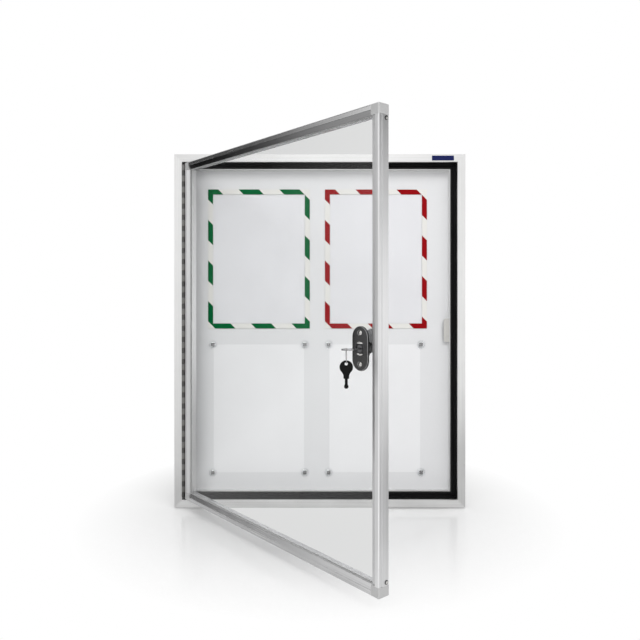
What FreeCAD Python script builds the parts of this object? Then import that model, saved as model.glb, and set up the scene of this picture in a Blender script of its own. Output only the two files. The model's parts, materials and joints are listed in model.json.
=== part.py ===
import FreeCAD, Part
import math
import os

import Sketcher

# Lockable notice board: a shallow wall case with a glazed door on a piano hinge.
# Frame: +Z up, +Y into the wall. The origin is the centre of the wall holes, on the rear plane.
# The door, its lock, the key and the spare key are drawn closed and then swung open together.

document = FreeCAD.newDocument("notice_board")
sheet = document.addObject("Spreadsheet::Sheet", "sizes")

# Driving dimensions, in millimetres, degrees and counts
DIMENSIONS = (
    # Case
    ("case_width", 662.0, "outer width of the case"),
    ("case_height", 804.0, "outer height of the case"),
    ("case_depth", 39.0, "outer depth of the case"),
    ("lip_width", 17.5, "face width of the case profile"),
    ("ledge_width", 13.5, "width of the ledge that the seal sits on"),
    ("case_wall", 1.6, "wall of the case profile"),
    ("case_round", 0.8, "rounding of the case's front edges"),
    ("sheet_thickness", 1.0, "steel sheet that the magnets hold to"),
    ("board_thickness", 4.0, "backing board"),
    ("board_edge", 20.0, "inset of the board from the case's outer edge"),
    ("board_gap", 0.5, "clearance round the board"),
    ("hole_inset_x", 131.0, "wall holes, from the case's sides"),
    ("hole_inset_z", 122.0, "wall holes, from the case's top and bottom"),
    ("hole_diameter", 6.5, "wall holes"),
    ("cleat_leg", 45.0, "leg of a corner cleat, from the case's outer edge"),
    ("fit_gap", 0.15, "clearance of a cleat or tenon in its profile"),
    ("label_width", 50.0, "label plate"),
    ("label_height", 11.0, "label plate"),
    ("label_thickness", 0.8, "label plate"),
    ("label_inset", 51.0, "middle of the label plate, from the case's right side"),
    # Seal
    ("seal_width", 11.5, "door seal"),
    ("seal_thickness", 5.0, "door seal"),
    ("seal_bevel", 1.5, "bevel of the seal's front"),
    ("seal_corner", 4.0, "radius of the seal's corners"),
    ("seal_gap", 0.3, "seal to closed door"),
    # Door frame and glass
    ("door_angle", 50.0, "opening of the door as modelled"),
    ("door_gap", 2.5, "free edge of the door to the case"),
    ("door_gap_z", 2.75, "top and bottom of the door to the case"),
    ("door_thickness", 22.0, "door profile, front to back"),
    ("door_proud", 1.0, "door face in front of the case"),
    ("frame_width", 17.5, "face width of the door profile"),
    ("flat_width", 9.0, "flat outer band of the door profile"),
    ("bevel_step", 0.7, "step from the flat band down to the bevel"),
    ("bevel_drop", 2.8, "fall of the bevel"),
    ("bevel_lip", 1.0, "edge of the bevel over the glass"),
    ("door_wall", 1.6, "wall of the door profile"),
    ("door_round", 2.5, "rounding of the door's outer edge"),
    ("rear_round", 1.0, "rounding of the door's rear edge"),
    ("edge_groove_at", 4.5, "groove along the door's edge, behind the face"),
    ("edge_groove_width", 3.0, "groove along the door's edge"),
    ("edge_groove_depth", 0.8, "groove along the door's edge"),
    ("rebate_depth", 9.5, "depth of the glazing rebate"),
    ("glass_thickness", 4.0, "door glass"),
    ("glass_gap", 0.5, "glass edge to the bottom of its rebate"),
    ("front_gasket", 1.0, "gasket in front of the glass"),
    ("rear_gasket", 1.5, "gasket behind the glass"),
    ("gasket_gap", 1.0, "gasket edge to the bottom of the rebate"),
    ("front_gasket_show", 0.8, "front gasket beyond the profile"),
    ("rear_gasket_show", 0.8, "rear gasket beyond the profile"),
    ("tenon_length", 30.0, "tenon of a corner block"),
    ("corner_screw_inset", 22.5, "corner screw from the door's end"),
    ("corner_head_diameter", 7.0, "corner screw head"),
    ("corner_head_height", 1.2, "corner screw head"),
    ("corner_shank_diameter", 3.4, "corner screw shank"),
    ("corner_shank_length", 8.0, "corner screw shank"),
    ("screw_gap", 0.1, "screw shank in its hole, all round"),
    # Piano hinge
    ("barrel_diameter", 7.0, "hinge barrel"),
    ("barrel_flats", 12, "flats of the rolled barrel"),
    ("bore_flats", 6, "flats of the barrel's bore"),
    ("leaf_thickness", 1.2, "hinge leaf"),
    ("leaf_width", 21.0, "hinge leaf, from the pin"),
    ("hinge_end_gap", 7.0, "hinge to the top and bottom of the case's opening"),
    ("knuckle_pairs", 30, "pairs of knuckles"),
    ("knuckle_gap", 0.3, "gap between knuckles"),
    ("pin_diameter", 4.4, "hinge pin"),
    ("pin_gap", 0.05, "hinge pin in its knuckles, all round"),
    ("hinge_proud", 1.5, "pin axis in front of the door face"),
    # Strike
    ("strike_height", 54.0, "strike plate"),
    ("strike_reach", 13.0, "flange of the strike, from the case wall"),
    ("strike_thickness", 1.5, "strike plate"),
    ("strike_corner", 5.0, "corners of the strike's flange"),
    ("strike_gap", 4.7, "closed door to the strike"),
    ("strike_board_gap", 1.0, "strike to the steel sheet"),
    ("strike_slot_low", 9.0, "slot for the cam, below the lock axis"),
    ("strike_slot_high", 15.0, "slot for the cam, above the lock axis"),
    ("strike_screw_z", 21.0, "strike screws, above and below the lock axis"),
    ("strike_head_diameter", 5.0, "strike screw head"),
    ("strike_head_height", 1.6, "strike screw head"),
    ("strike_shank_diameter", 2.9, "strike screw shank"),
    ("strike_shank_length", 6.0, "strike screw shank behind the plate"),
    # Lock
    ("lock_inset", 44.2, "lock axis from the door's free edge"),
    ("plate_width", 36.0, "escutcheon"),
    ("plate_height", 71.5, "escutcheon"),
    ("plate_thickness", 3.8, "escutcheon"),
    ("plate_bevel", 1.4, "bevel of the escutcheon"),
    ("clamp_width", 10.0, "arms of the clamp plate behind the glass"),
    ("clamp_height", 64.0, "clamp plate, over its arms"),
    ("clamp_diameter", 29.0, "middle of the clamp plate"),
    ("clamp_thickness", 4.0, "clamp plate"),
    ("plate_screw_z", 25.0, "escutcheon screws, above and below the lock axis"),
    ("plate_head_diameter", 8.0, "escutcheon screw head"),
    ("plate_head_height", 2.2, "escutcheon screw head"),
    ("plate_head_sunk", 2.6, "counterbore of the escutcheon"),
    ("plate_head_gap", 0.4, "screw head in its counterbore, all round"),
    ("plate_shank_diameter", 3.9, "escutcheon screw shank"),
    ("plate_glass_hole", 6.0, "holes in the glass for the escutcheon screws"),
    ("bezel_diameter", 22.0, "bezel of the lock body"),
    ("bezel_height", 1.2, "bezel of the lock body"),
    ("barrel_lock_diameter", 18.8, "barrel of the lock body"),
    ("lock_length", 23.0, "lock body behind the front of the escutcheon"),
    ("lock_hole_gap", 0.1, "lock body in the plates, all round"),
    ("glass_hole_gap", 0.6, "lock body in the glass, all round"),
    ("nut_width", 24.0, "lock nut across its flats"),
    ("nut_thickness", 4.0, "lock nut"),
    ("plug_diameter", 12.0, "lock plug"),
    ("plug_gap", 0.05, "lock plug in its body, all round"),
    ("plug_proud", 0.8, "lock plug in front of the escutcheon"),
    ("tail_width", 7.0, "square tail of the plug"),
    ("tail_gap", 0.1, "cam on the plug's tail, all round"),
    ("cam_gap", 0.5, "cam behind the strike's flange"),
    ("cam_thickness", 2.0, "lock cam"),
    ("cam_reach", 30.5, "tip of the cam from the lock axis"),
    ("cam_width", 11.0, "arm of the cam"),
    ("cam_hub_diameter", 16.0, "hub of the cam"),
    ("hook_reach", 10.0, "side of the cam's hook from the arm's middle"),
    ("hook_low", 18.0, "underside of the cam's hook from the lock axis"),
    ("hook_high", 27.0, "top of the cam's hook from the lock axis"),
    ("cam_corner", 2.0, "corners of the cam"),
    ("cam_screw_head", 8.0, "cam screw head"),
    ("cam_screw_height", 2.0, "cam screw head"),
    ("cam_screw_shank", 3.6, "cam screw shank"),
    ("cam_screw_length", 8.0, "cam screw shank in the plug"),
    # Key in the lock
    ("key_thickness", 2.2, "key"),
    ("key_width", 8.0, "key blade"),
    ("key_blade", 20.0, "key blade behind its shoulder"),
    ("key_gap", 0.2, "key in its keyway, all round"),
    ("key_shoulder_gap", 0.7, "key shoulder to the plug"),
    ("key_neck_width", 10.0, "neck of the key"),
    ("key_bow_diameter", 21.0, "bow of the key"),
    ("key_bow_at", 25.0, "middle of the bow from the escutcheon"),
    ("key_hole_diameter", 8.4, "hole in the bow"),
    ("key_hole_at", 4.0, "hole from the middle of the bow, outwards"),
    ("key_notch_depth", 1.8, "notches of the key blade"),
    ("key_notch_pitch", 3.4, "notches of the key blade"),
    ("key_notch_count", 4, "notches of the key blade"),
    ("key_tip", 2.6, "chamfers of the key's tip"),
    # Ring and spare key
    ("ring_radius", 11.0, "key ring, at the middle of its wire"),
    ("wire_width", 1.5, "key ring wire"),
    ("wire_bevel", 0.4, "edges of the key ring wire"),
    ("ring_gap", 0.35, "key ring over the bow"),
    ("ring_rim_at", 5.85, "middle of the key's rim under the ring, from the hole"),
    ("spare_head_diameter", 21.0, "head of the spare key"),
    ("spare_head_thickness", 3.0, "head of the spare key"),
    ("spare_hole_diameter", 5.0, "hole in the head"),
    ("spare_hole_at", 5.1, "hole above the middle of the head"),
    ("spare_hole_gap", 0.3, "hole above the ring's wire"),
    ("spare_neck_width", 8.8, "neck of the head, at its end"),
    ("spare_neck_at", 18.0, "end of the neck, below the middle of the head"),
    ("spare_blade_thickness", 2.0, "blade of the spare key"),
    ("spare_blade_width", 4.6, "blade of the spare key"),
    ("spare_tip_diameter", 7.0, "rounded tip of the blade"),
    ("spare_tip_at", 33.4, "end of the tip, below the middle of the head"),
    ("spare_blade_root", 4.0, "blade let into the head"),
    # Notices on the steel sheet
    ("notice_width", 236.0, "magnetic notice frame"),
    ("notice_height", 323.0, "magnetic notice frame"),
    ("notice_border", 11.5, "magnetic notice frame"),
    ("notice_thickness", 0.8, "magnetic notice frame"),
    ("notice_low", 3.6, "notice frames below even spacing"),
    ("notice_left_x", -140.2, "middle of the left notice frame"),
    ("notice_right_x", 131.0, "middle of the right notice frame"),
    ("film_thickness", 0.3, "clear film of a notice frame"),
    ("film_inset", 1.5, "film from the edge of its frame"),
    ("paper_width", 210.0, "sheet of paper"),
    ("paper_height", 297.0, "sheet of paper"),
    ("paper_thickness", 0.2, "sheet of paper"),
    ("paper_low", 0.2, "paper sheets below even spacing"),
    ("paper_left_x", -140.4, "middle of the left sheet"),
    ("paper_right_x", 128.4, "middle of the right sheet"),
    ("magnet_diameter", 20.0, "clear magnet cap"),
    ("magnet_height", 8.0, "clear magnet cap"),
    ("magnet_bevel", 1.5, "bevel of a magnet cap"),
    ("magnet_core_width", 7.0, "square core of a magnet"),
    ("magnet_core_height", 5.0, "core of a magnet"),
    ("magnet_core_gap", 0.1, "core in its cap, all round"),
    ("magnet_out", 1.8, "middle of a magnet beyond the paper's side"),
)

for row, (alias, number_set, meaning) in enumerate(DIMENSIONS, 1):
    sheet.set(f"A{row}", meaning)
    sheet.set(f"B{row}", str(number_set))
    sheet.setAlias(f"B{row}", alias)
document.recompute()


class Cells:
    """Turns a size's name into the text that expressions use for its cell."""

    def __getattr__(self, alias):
        return f"sizes.{alias}"


size = Cells()


def number(expression):
    """The present value of an expression over the sheet."""
    return float(sheet.evalExpression(expression))


def count(expression):
    return int(round(number(expression)))


# Places that several pieces share, as expressions in the case's frame

half_width = f"{size.case_width} / 2"
half_height = f"{size.case_height} / 2"
case_inset = f"({size.lip_width} + {size.ledge_width})"
case_front = f"-{size.case_depth}"
sheet_front = f"-({size.board_thickness} + {size.sheet_thickness})"
door_back = f"({size.door_thickness} - {size.door_proud} - {size.case_depth})"
ledge_front = f"({door_back} + {size.seal_gap} + {size.seal_thickness})"
strike_front = f"({door_back} + {size.strike_gap})"
strike_back = f"({strike_front} + {size.strike_thickness})"
cam_front_in_case = f"({strike_back} + {size.cam_gap})"
ledge_middle = f"(({ledge_front} + {sheet_front}) / 2)"
wall_x = f"({half_width} - {case_inset})"
wall_z = f"({half_height} - {case_inset})"
film_back = f"({sheet_front} - {size.paper_thickness})"
notice_back = f"({film_back} - {size.film_thickness})"

# Places on the door, measured from the hinge pin with the door closed

pin_x = f"({size.lip_width} + {size.barrel_diameter} / 2 - {half_width})"
pin_y = f"(-({size.case_depth} + {size.door_proud} + {size.hinge_proud}))"
door_start = f"({size.barrel_diameter} / 2)"
door_end = f"({half_width} - {size.lip_width} - {size.door_gap} - {pin_x})"
door_top = f"({half_height} - {size.lip_width} - {size.door_gap_z})"
face = size.hinge_proud
rebate_front = f"({size.bevel_step} + {size.bevel_drop} + {size.bevel_lip})"
glass_front = f"({face} + {rebate_front} + {size.front_gasket})"
glass_back = f"({glass_front} + {size.glass_thickness})"
rebate_back = (f"({rebate_front} + {size.front_gasket} + {size.glass_thickness}"
               f" + {size.rear_gasket})")
rebate_floor = f"({size.frame_width} - {size.rebate_depth})"
chamber_front = f"({rebate_back} + {size.door_wall})"
chamber_back = f"({size.door_thickness} - {size.door_wall})"
chamber_side = f"({size.frame_width} - {size.door_wall})"
corner_screw_depth = f"({face} + ({chamber_front} + {chamber_back}) / 2)"
lock_x = f"({door_end} - {size.lock_inset})"
plate_front = f"({glass_front} - {size.plate_thickness})"
clamp_back = f"({glass_back} + {size.clamp_thickness})"
lock_back = f"({plate_front} + {size.lock_length})"
plug_front = f"({plate_front} - {size.plug_proud})"
cam_front = f"({cam_front_in_case} - {pin_y})"
cam_back = f"({cam_front} + {size.cam_thickness})"
key_shoulder = f"({plug_front} - {size.key_shoulder_gap})"
bow_y = f"({plate_front} - {size.key_bow_at})"
key_hole_y = f"({bow_y} - {size.key_hole_at})"

# The point of the world below which the key ring hangs

turn = f"({size.door_angle} * 1deg)"
ring_x = f"({pin_x} + ({lock_x}) * cos({turn}) + ({key_hole_y}) * sin({turn}))"
ring_y = (f"({pin_y} - ({lock_x}) * sin({turn}) + ({key_hole_y}) * cos({turn})"
          f" - {size.ring_rim_at})")
ring_z = f"({size.key_thickness} / 2 + {size.ring_gap} + {size.wire_width} / 2 - {size.ring_radius})"
spare_hole_z = (f"({ring_z} - {size.ring_radius} - {size.spare_hole_diameter} / 2"
                f" + {size.wire_width} / 2 + {size.spare_hole_gap})")
spare_z = f"({spare_hole_z} - {size.spare_hole_at})"

# A plane to sketch on for each axis, and whether its normal points along the axis

PLANES = {"X": ("YZ_Plane", 1), "Y": ("XZ_Plane", -1), "Z": ("XY_Plane", 1)}
NEAR = 0.01
NODES = []


def new_body(label, several=False):
    """An empty body for one sub-part. Several: it holds separate solids."""
    body = document.addObject("PartDesign::Body", label)
    body.Label = label
    body.AllowCompound = several
    NODES.append(body)
    return body


def origin_feature(body, role):
    return next(part for part in body.Origin.OriginFeatures if part.Role == role)


def fix_point(sketch, geometry, point, place):
    """Holds a point of a sketch at two expressions."""
    for kind, expression in zip(("DistanceX", "DistanceY"), place):
        rule = Sketcher.Constraint(kind, -1, 1, geometry, point, number(expression))
        index = sketch.addConstraint(rule)
        sketch.setExpression(f"Constraints[{index}]", expression)


def polygon(points):
    """Draws a closed outline through points given as pairs of expressions."""
    def draw(sketch):
        corners = [FreeCAD.Vector(number(across), number(up), 0) for across, up in points]
        first = sketch.GeometryCount
        last = len(corners) - 1
        for index, corner in enumerate(corners):
            following = corners[0 if index == last else index + 1]
            sketch.addGeometry(Part.LineSegment(corner, following), False)
        for index, place in enumerate(points):
            after = first + (0 if index == last else index + 1)
            sketch.addConstraint(Sketcher.Constraint("Coincident", first + index, 2, after, 1))
            fix_point(sketch, first + index, 1, place)
    return draw


def rectangle(left, low, right, high):
    return polygon([(left, low), (right, low), (right, high), (left, high)])


def regular(across, up, diameter, flats):
    """Draws a regular polygon with its corners on a circle."""
    points = []
    for index in range(flats):
        corner = f"({360 / flats * index} * 1deg)"
        points.append((f"{across} + {diameter} / 2 * cos({corner})",
                       f"{up} + {diameter} / 2 * sin({corner})"))
    return polygon(points)


def circle(across, up, diameter):
    def draw(sketch):
        centre = FreeCAD.Vector(number(across), number(up), 0)
        round_edge = Part.Circle(centre, FreeCAD.Vector(0, 0, 1), number(diameter) / 2)
        index = sketch.addGeometry(round_edge, False)
        fix_point(sketch, index, 3, (across, up))
        rule = sketch.addConstraint(Sketcher.Constraint("Diameter", index, number(diameter)))
        sketch.setExpression(f"Constraints[{rule}]", diameter)
    return draw


def upright_slot(across, width, height):
    """Draws a slot with round ends, centred on the lock axis."""
    def draw(sketch):
        radius = number(width) / 2
        middle = number(across)
        rise = number(height) / 2 - radius
        first = sketch.GeometryCount
        low_right = FreeCAD.Vector(middle + radius, -rise, 0)
        high_right = FreeCAD.Vector(middle + radius, rise, 0)
        high_left = FreeCAD.Vector(middle - radius, rise, 0)
        low_left = FreeCAD.Vector(middle - radius, -rise, 0)
        top = Part.Arc(high_right, FreeCAD.Vector(middle, rise + radius, 0), high_left)
        bottom = Part.Arc(low_left, FreeCAD.Vector(middle, -rise - radius, 0), low_right)
        sketch.addGeometry(Part.LineSegment(low_right, high_right), False)
        sketch.addGeometry(top, False)
        sketch.addGeometry(Part.LineSegment(high_left, low_left), False)
        sketch.addGeometry(bottom, False)
        for here, here_point, there, there_point in ((0, 2, 1, 1), (1, 2, 2, 1), (2, 2, 3, 1), (3, 2, 0, 1)):
            rule = Sketcher.Constraint("Coincident", first + here, here_point, first + there, there_point)
            sketch.addConstraint(rule)
        high = f"({height} - {width}) / 2"
        low = f"({width} - {height}) / 2"
        right = f"{across} + {width} / 2"
        left = f"{across} - {width} / 2"
        fix_point(sketch, first, 1, (right, low))
        fix_point(sketch, first, 2, (right, high))
        fix_point(sketch, first + 2, 1, (left, high))
        fix_point(sketch, first + 2, 2, (left, low))
        for arc, level in ((first + 1, high), (first + 3, low)):
            rule = sketch.addConstraint(Sketcher.Constraint("DistanceY", -1, 1, arc, 3, number(level)))
            sketch.setExpression(f"Constraints[{rule}]", level)
    return draw


def together(drawings):
    """Puts several outlines in one sketch."""
    def draw(sketch):
        for drawing in drawings:
            drawing(sketch)
    return draw


def extrude(body, name, axis, start, end, draw, cut=False):
    """Adds material, or cuts it away, between two places along an axis."""
    role, sign = PLANES[axis]
    sketch = body.newObject("Sketcher::SketchObject", f"{body.Name}_{name}_outline")
    sketch.AttachmentSupport = [(origin_feature(body, role), "")]
    sketch.MapMode = "FlatFace"
    sketch.setExpression("AttachmentOffset.Base.z", f"{sign} * ({start})")
    draw(sketch)
    kind = "PartDesign::Pocket" if cut else "PartDesign::Pad"
    feature = body.newObject(kind, f"{body.Name}_{name}")
    feature.Profile = sketch
    feature.setExpression("Length", f"({end}) - ({start})")
    feature.Reversed = (sign > 0) if cut else (sign < 0)
    return feature


def lies_at(edge, **places):
    """Whether an edge lies wholly at the given x, y or z."""
    box = edge.BoundBox
    reach = {"x": (box.XMin, box.XMax), "y": (box.YMin, box.YMax), "z": (box.ZMin, box.ZMax)}
    return all(abs(limit - place) < NEAR for axis, place in places.items() for limit in reach[axis])


def dress_edges(body, name, kind, amount, chosen):
    """Rounds or bevels the edges of the body so far that a test picks."""
    document.recompute()
    base = body.Tip
    edges = [f"Edge{index}" for index, edge in enumerate(base.Shape.Edges, 1) if chosen(edge)]
    if not edges:
        raise ValueError(f"{body.Label}: no edges to dress for {name}")
    feature = body.newObject(f"PartDesign::{kind}", f"{body.Name}_{name}")
    feature.Base = (base, edges)
    feature.setExpression("Radius" if kind == "Fillet" else "Size", amount)
    return feature


def round_edges(body, name, radius, chosen):
    return dress_edges(body, name, "Fillet", radius, chosen)


def bevel_edges(body, name, width, chosen):
    return dress_edges(body, name, "Chamfer", width, chosen)


def hang_on_door(part):
    """Swings a piece that was drawn from the hinge pin, closed, to the modelled opening."""
    part.setExpression("Placement.Base.x", pin_x)
    part.setExpression("Placement.Base.y", pin_y)
    part.setExpression("Placement.Rotation.Angle", f"-{turn}")
    return part


# Case: four mitred hollow profiles, with the lip round the door and the ledge behind it

def case_profile(label, upright, side):
    """One side of the case. Side: -1 for the left or bottom, 1 for the right or top."""
    body = new_body(label)
    edge = half_width if upright else half_height
    length = half_height if upright else half_width

    def inward(distance):
        return f"{side} * ({edge} - ({distance}))"

    outline = (
        (case_front, "0"),
        ("0", "0"),
        ("0", f"{size.board_edge} - {size.board_gap}"),
        (sheet_front, f"{size.board_edge} - {size.board_gap}"),
        (sheet_front, case_inset),
        (ledge_front, case_inset),
        (ledge_front, size.lip_width),
        (case_front, size.lip_width),
    )
    lip_chamber = (
        (f"{case_front} + {size.case_wall}", size.case_wall),
        (f"-{size.case_wall}", size.case_wall),
        (f"-{size.case_wall}", f"{size.lip_width} - {size.case_wall}"),
        (f"{case_front} + {size.case_wall}", f"{size.lip_width} - {size.case_wall}"),
    )
    ledge_chamber = (
        (f"{ledge_front} + {size.case_wall}", size.lip_width),
        (f"{sheet_front} - {size.case_wall}", size.lip_width),
        (f"{sheet_front} - {size.case_wall}", f"{case_inset} - {size.case_wall}"),
        (f"{ledge_front} + {size.case_wall}", f"{case_inset} - {size.case_wall}"),
    )
    loops = []
    for loop in (outline, lip_chamber, ledge_chamber):
        if upright:
            loops.append(polygon([(inward(distance), depth) for depth, distance in loop]))
        else:
            loops.append(polygon([(depth, inward(distance)) for depth, distance in loop]))
    axis = "Z" if upright else "X"
    extrude(body, "bar", axis, f"-{length}", length, together(loops))
    front = number(case_front)
    outer = side * number(edge)
    inner = side * (number(edge) - number(size.lip_width))

    def front_edge(candidate):
        if upright:
            return any(lies_at(candidate, x=place, y=front) for place in (outer, inner))
        return any(lies_at(candidate, z=place, y=front) for place in (outer, inner))

    round_edges(body, "front_rounding", size.case_round, front_edge)

    # The mitres: a corner cut off at 45 degrees at each end, drawn past the profile
    margin = size.lip_width
    near_corner = f"({case_inset} + {margin})"
    for name, end in (("first_mitre", -1), ("second_mitre", 1)):
        if upright:
            triangle = [
                (f"{side} * ({half_width} + {margin})", f"{end} * ({half_height} + {margin})"),
                (f"{side} * ({half_width} - {near_corner})", f"{end} * ({half_height} + {margin})"),
                (f"{side} * ({half_width} - {near_corner})", f"{end} * ({half_height} - {near_corner})"),
            ]
        else:
            triangle = [
                (f"{end} * ({half_width} + {margin})", f"{side} * ({half_height} + {margin})"),
                (f"{end} * ({half_width} + {margin})", f"{side} * ({half_height} - {near_corner})"),
                (f"{end} * ({half_width} - {near_corner})", f"{side} * ({half_height} - {near_corner})"),
            ]
        extrude(body, name, "Y", f"{case_front} - {margin}", margin, polygon(triangle), cut=True)
    return body


case_profile("case_top_profile", upright=False, side=1)
case_profile("case_bottom_profile", upright=False, side=-1)
left_profile = case_profile("case_left_profile", upright=True, side=-1)
right_profile = case_profile("case_right_profile", upright=True, side=1)

cleats = new_body("case_corner_cleats", several=True)
cleat_out = f"({size.case_wall} + {size.fit_gap})"
cleat_in = f"({size.lip_width} - {size.case_wall} - {size.fit_gap})"
cleat_corners = (
    (cleat_out, cleat_out),
    (size.cleat_leg, cleat_out),
    (size.cleat_leg, cleat_in),
    (cleat_in, cleat_in),
    (cleat_in, size.cleat_leg),
    (cleat_out, size.cleat_leg),
)
cleat_outlines = []
for side in (-1, 1):
    for level in (-1, 1):
        cleat_outlines.append(polygon([
            (f"{side} * ({half_width} - {across})", f"{level} * ({half_height} - {up})")
            for across, up in cleat_corners]))
extrude(cleats, "legs", "Y", f"{case_front} + {cleat_out}", f"-{cleat_out}", together(cleat_outlines))


# Rear: a backing board and the white steel sheet in front of it, with the wall holes through both

def rear_plate(label, front, back):
    body = new_body(label)
    across = f"({half_width} - {size.board_edge})"
    up = f"({half_height} - {size.board_edge})"
    extrude(body, "plate", "Y", front, back, rectangle(f"-{across}", f"-{up}", across, up))
    holes = []
    for side in (-1, 1):
        for level in (-1, 1):
            holes.append(circle(f"{side} * ({half_width} - {size.hole_inset_x})",
                                f"{level} * ({half_height} - {size.hole_inset_z})", size.hole_diameter))
    extrude(body, "wall_holes", "Y", front, back, together(holes), cut=True)
    return body


rear_plate("magnetic_panel", sheet_front, f"-{size.board_thickness}")
rear_plate("backing_board", f"-{size.board_thickness}", "0")

label_plate = new_body("label_plate")
label_x = f"({half_width} - {size.label_inset})"
label_z = f"({half_height} - {size.lip_width} / 2)"
extrude(label_plate, "plate", "Y", f"{case_front} - {size.label_thickness}", case_front,
        rectangle(f"{label_x} - {size.label_width} / 2", f"{label_z} - {size.label_height} / 2",
                  f"{label_x} + {size.label_width} / 2", f"{label_z} + {size.label_height} / 2"))

# Seal: a rubber frame on the ledge, against the lip

seal = new_body("door_seal")
seal_front = f"({ledge_front} - {size.seal_thickness})"
seal_x = f"({half_width} - {size.lip_width})"
seal_z = f"({half_height} - {size.lip_width})"
extrude(seal, "block", "Y", seal_front, ledge_front,
        rectangle(f"-{seal_x}", f"-{seal_z}", seal_x, seal_z))
round_edges(seal, "corner_rounding", size.seal_corner,
            lambda edge: abs(edge.BoundBox.YLength - number(size.seal_thickness)) < NEAR)
hollow_x = f"({seal_x} - {size.seal_width})"
hollow_z = f"({seal_z} - {size.seal_width})"
extrude(seal, "hollow", "Y", seal_front, ledge_front,
        rectangle(f"-{hollow_x}", f"-{hollow_z}", hollow_x, hollow_z), cut=True)
bevel_edges(seal, "front_bevel", size.seal_bevel,
            lambda edge: lies_at(edge, y=number(seal_front)))


# Door frame: four straight profiles between four corner blocks

def on_door_edge(side, upright, distance):
    """The place at a distance in from one edge of the door."""
    if not upright:
        return f"{side} * ({door_top} - ({distance}))"
    if side > 0:
        return f"{door_end} - ({distance})"
    return f"{door_start} + ({distance})"


def depth_in_door(distance):
    """The place at a distance behind the door's face."""
    return f"{face} + ({distance})"


def door_profile(label, upright, side):
    body = new_body(label)
    groove_end = f"({size.edge_groove_at} + {size.edge_groove_width})"
    bevel_end = f"({size.bevel_step} + {size.bevel_drop})"
    outline = (
        ("0", "0"),
        (size.flat_width, "0"),
        (size.flat_width, size.bevel_step),
        (size.frame_width, bevel_end),
        (size.frame_width, rebate_front),
        (rebate_floor, rebate_front),
        (rebate_floor, rebate_back),
        (size.frame_width, rebate_back),
        (size.frame_width, size.door_thickness),
        ("0", size.door_thickness),
        ("0", groove_end),
        (size.edge_groove_depth, groove_end),
        (size.edge_groove_depth, size.edge_groove_at),
        ("0", size.edge_groove_at),
    )
    chamber = (
        (f"{size.door_wall} + {size.edge_groove_depth}", size.door_wall),
        (f"{rebate_floor} - {size.door_wall}", size.door_wall),
        (f"{rebate_floor} - {size.door_wall}", chamber_front),
        (chamber_side, chamber_front),
        (chamber_side, chamber_back),
        (size.door_wall, chamber_back),
        (size.door_wall, f"{groove_end} + {size.door_wall}"),
        (f"{size.door_wall} + {size.edge_groove_depth}", f"{groove_end} + {size.door_wall}"),
    )
    loops = []
    for loop in (outline, chamber):
        points = []
        for distance, depth in loop:
            place = on_door_edge(side, upright, distance)
            points.append((place, depth_in_door(depth)) if upright else (depth_in_door(depth), place))
        loops.append(polygon(points))
    if upright:
        start = f"-({door_top} - {size.frame_width})"
        end = f"{door_top} - {size.frame_width}"
    else:
        start = f"{door_start} + {size.frame_width}"
        end = f"{door_end} - {size.frame_width}"
    extrude(body, "bar", "Z" if upright else "X", start, end, together(loops))
    outer = number(on_door_edge(side, upright, "0"))
    front = number(face)
    rear = number(depth_in_door(size.door_thickness))
    across = "x" if upright else "z"
    round_edges(body, "front_rounding", size.door_round,
                lambda edge: lies_at(edge, **{across: outer, "y": front}))
    round_edges(body, "rear_rounding", size.rear_round,
                lambda edge: lies_at(edge, **{across: outer, "y": rear}))
    return hang_on_door(body)


top_rail = door_profile("door_top_rail", upright=False, side=1)
bottom_rail = door_profile("door_bottom_rail", upright=False, side=-1)
hinge_stile = door_profile("door_hinge_stile", upright=True, side=-1)
lock_stile = door_profile("door_lock_stile", upright=True, side=1)

tenon_out = f"({size.door_wall} + {size.fit_gap})"
tenon_in = f"({chamber_side} - {size.fit_gap})"
tenon_front = depth_in_door(f"{chamber_front} + {size.fit_gap}")
tenon_back = depth_in_door(f"{chamber_back} - {size.fit_gap}")


def corner_block(label, side, level):
    """A corner of the door: a square block with a tenon into each profile."""
    body = new_body(label)

    def across(distance):
        return on_door_edge(side, True, distance)

    def up(distance):
        return on_door_edge(level, False, distance)

    back = depth_in_door(size.door_thickness)
    extrude(body, "block", "Y", face, back,
            rectangle(across("0"), up("0"), across(size.frame_width), up(size.frame_width)))
    corner_x = number(across("0"))
    corner_z = number(up("0"))
    front = number(face)
    round_edges(body, "rounding", size.door_round,
                lambda edge: lies_at(edge, x=corner_x, y=front) or lies_at(edge, z=corner_z, y=front)
                or lies_at(edge, x=corner_x, z=corner_z))
    tenon_end = f"{size.frame_width} + {size.tenon_length}"
    extrude(body, "level_tenon", "Y", tenon_front, tenon_back,
            rectangle(across(size.frame_width), up(tenon_out), across(tenon_end), up(tenon_in)))
    extrude(body, "upright_tenon", "Y", tenon_front, tenon_back,
            rectangle(across(tenon_out), up(size.frame_width), across(tenon_in), up(tenon_end)))
    past = f"({size.frame_width} + {size.tenon_length})"
    extrude(body, "glass_rebate", "Y", depth_in_door(rebate_front), depth_in_door(rebate_back),
            rectangle(across(rebate_floor), up(rebate_floor), across(past), up(past)), cut=True)
    return hang_on_door(body)


corner_blocks = {}
for side, side_name in ((-1, "hinge"), (1, "lock")):
    for level, level_name in ((-1, "bottom"), (1, "top")):
        label = f"door_corner_{level_name}_{side_name}"
        corner_blocks[side, level] = corner_block(label, side, level)

# Corner screws: through the free edge of the lock stile into the tenons of its blocks


def circles(places, diameter):
    return together([circle(across, up, diameter) for across, up in places])


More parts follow.
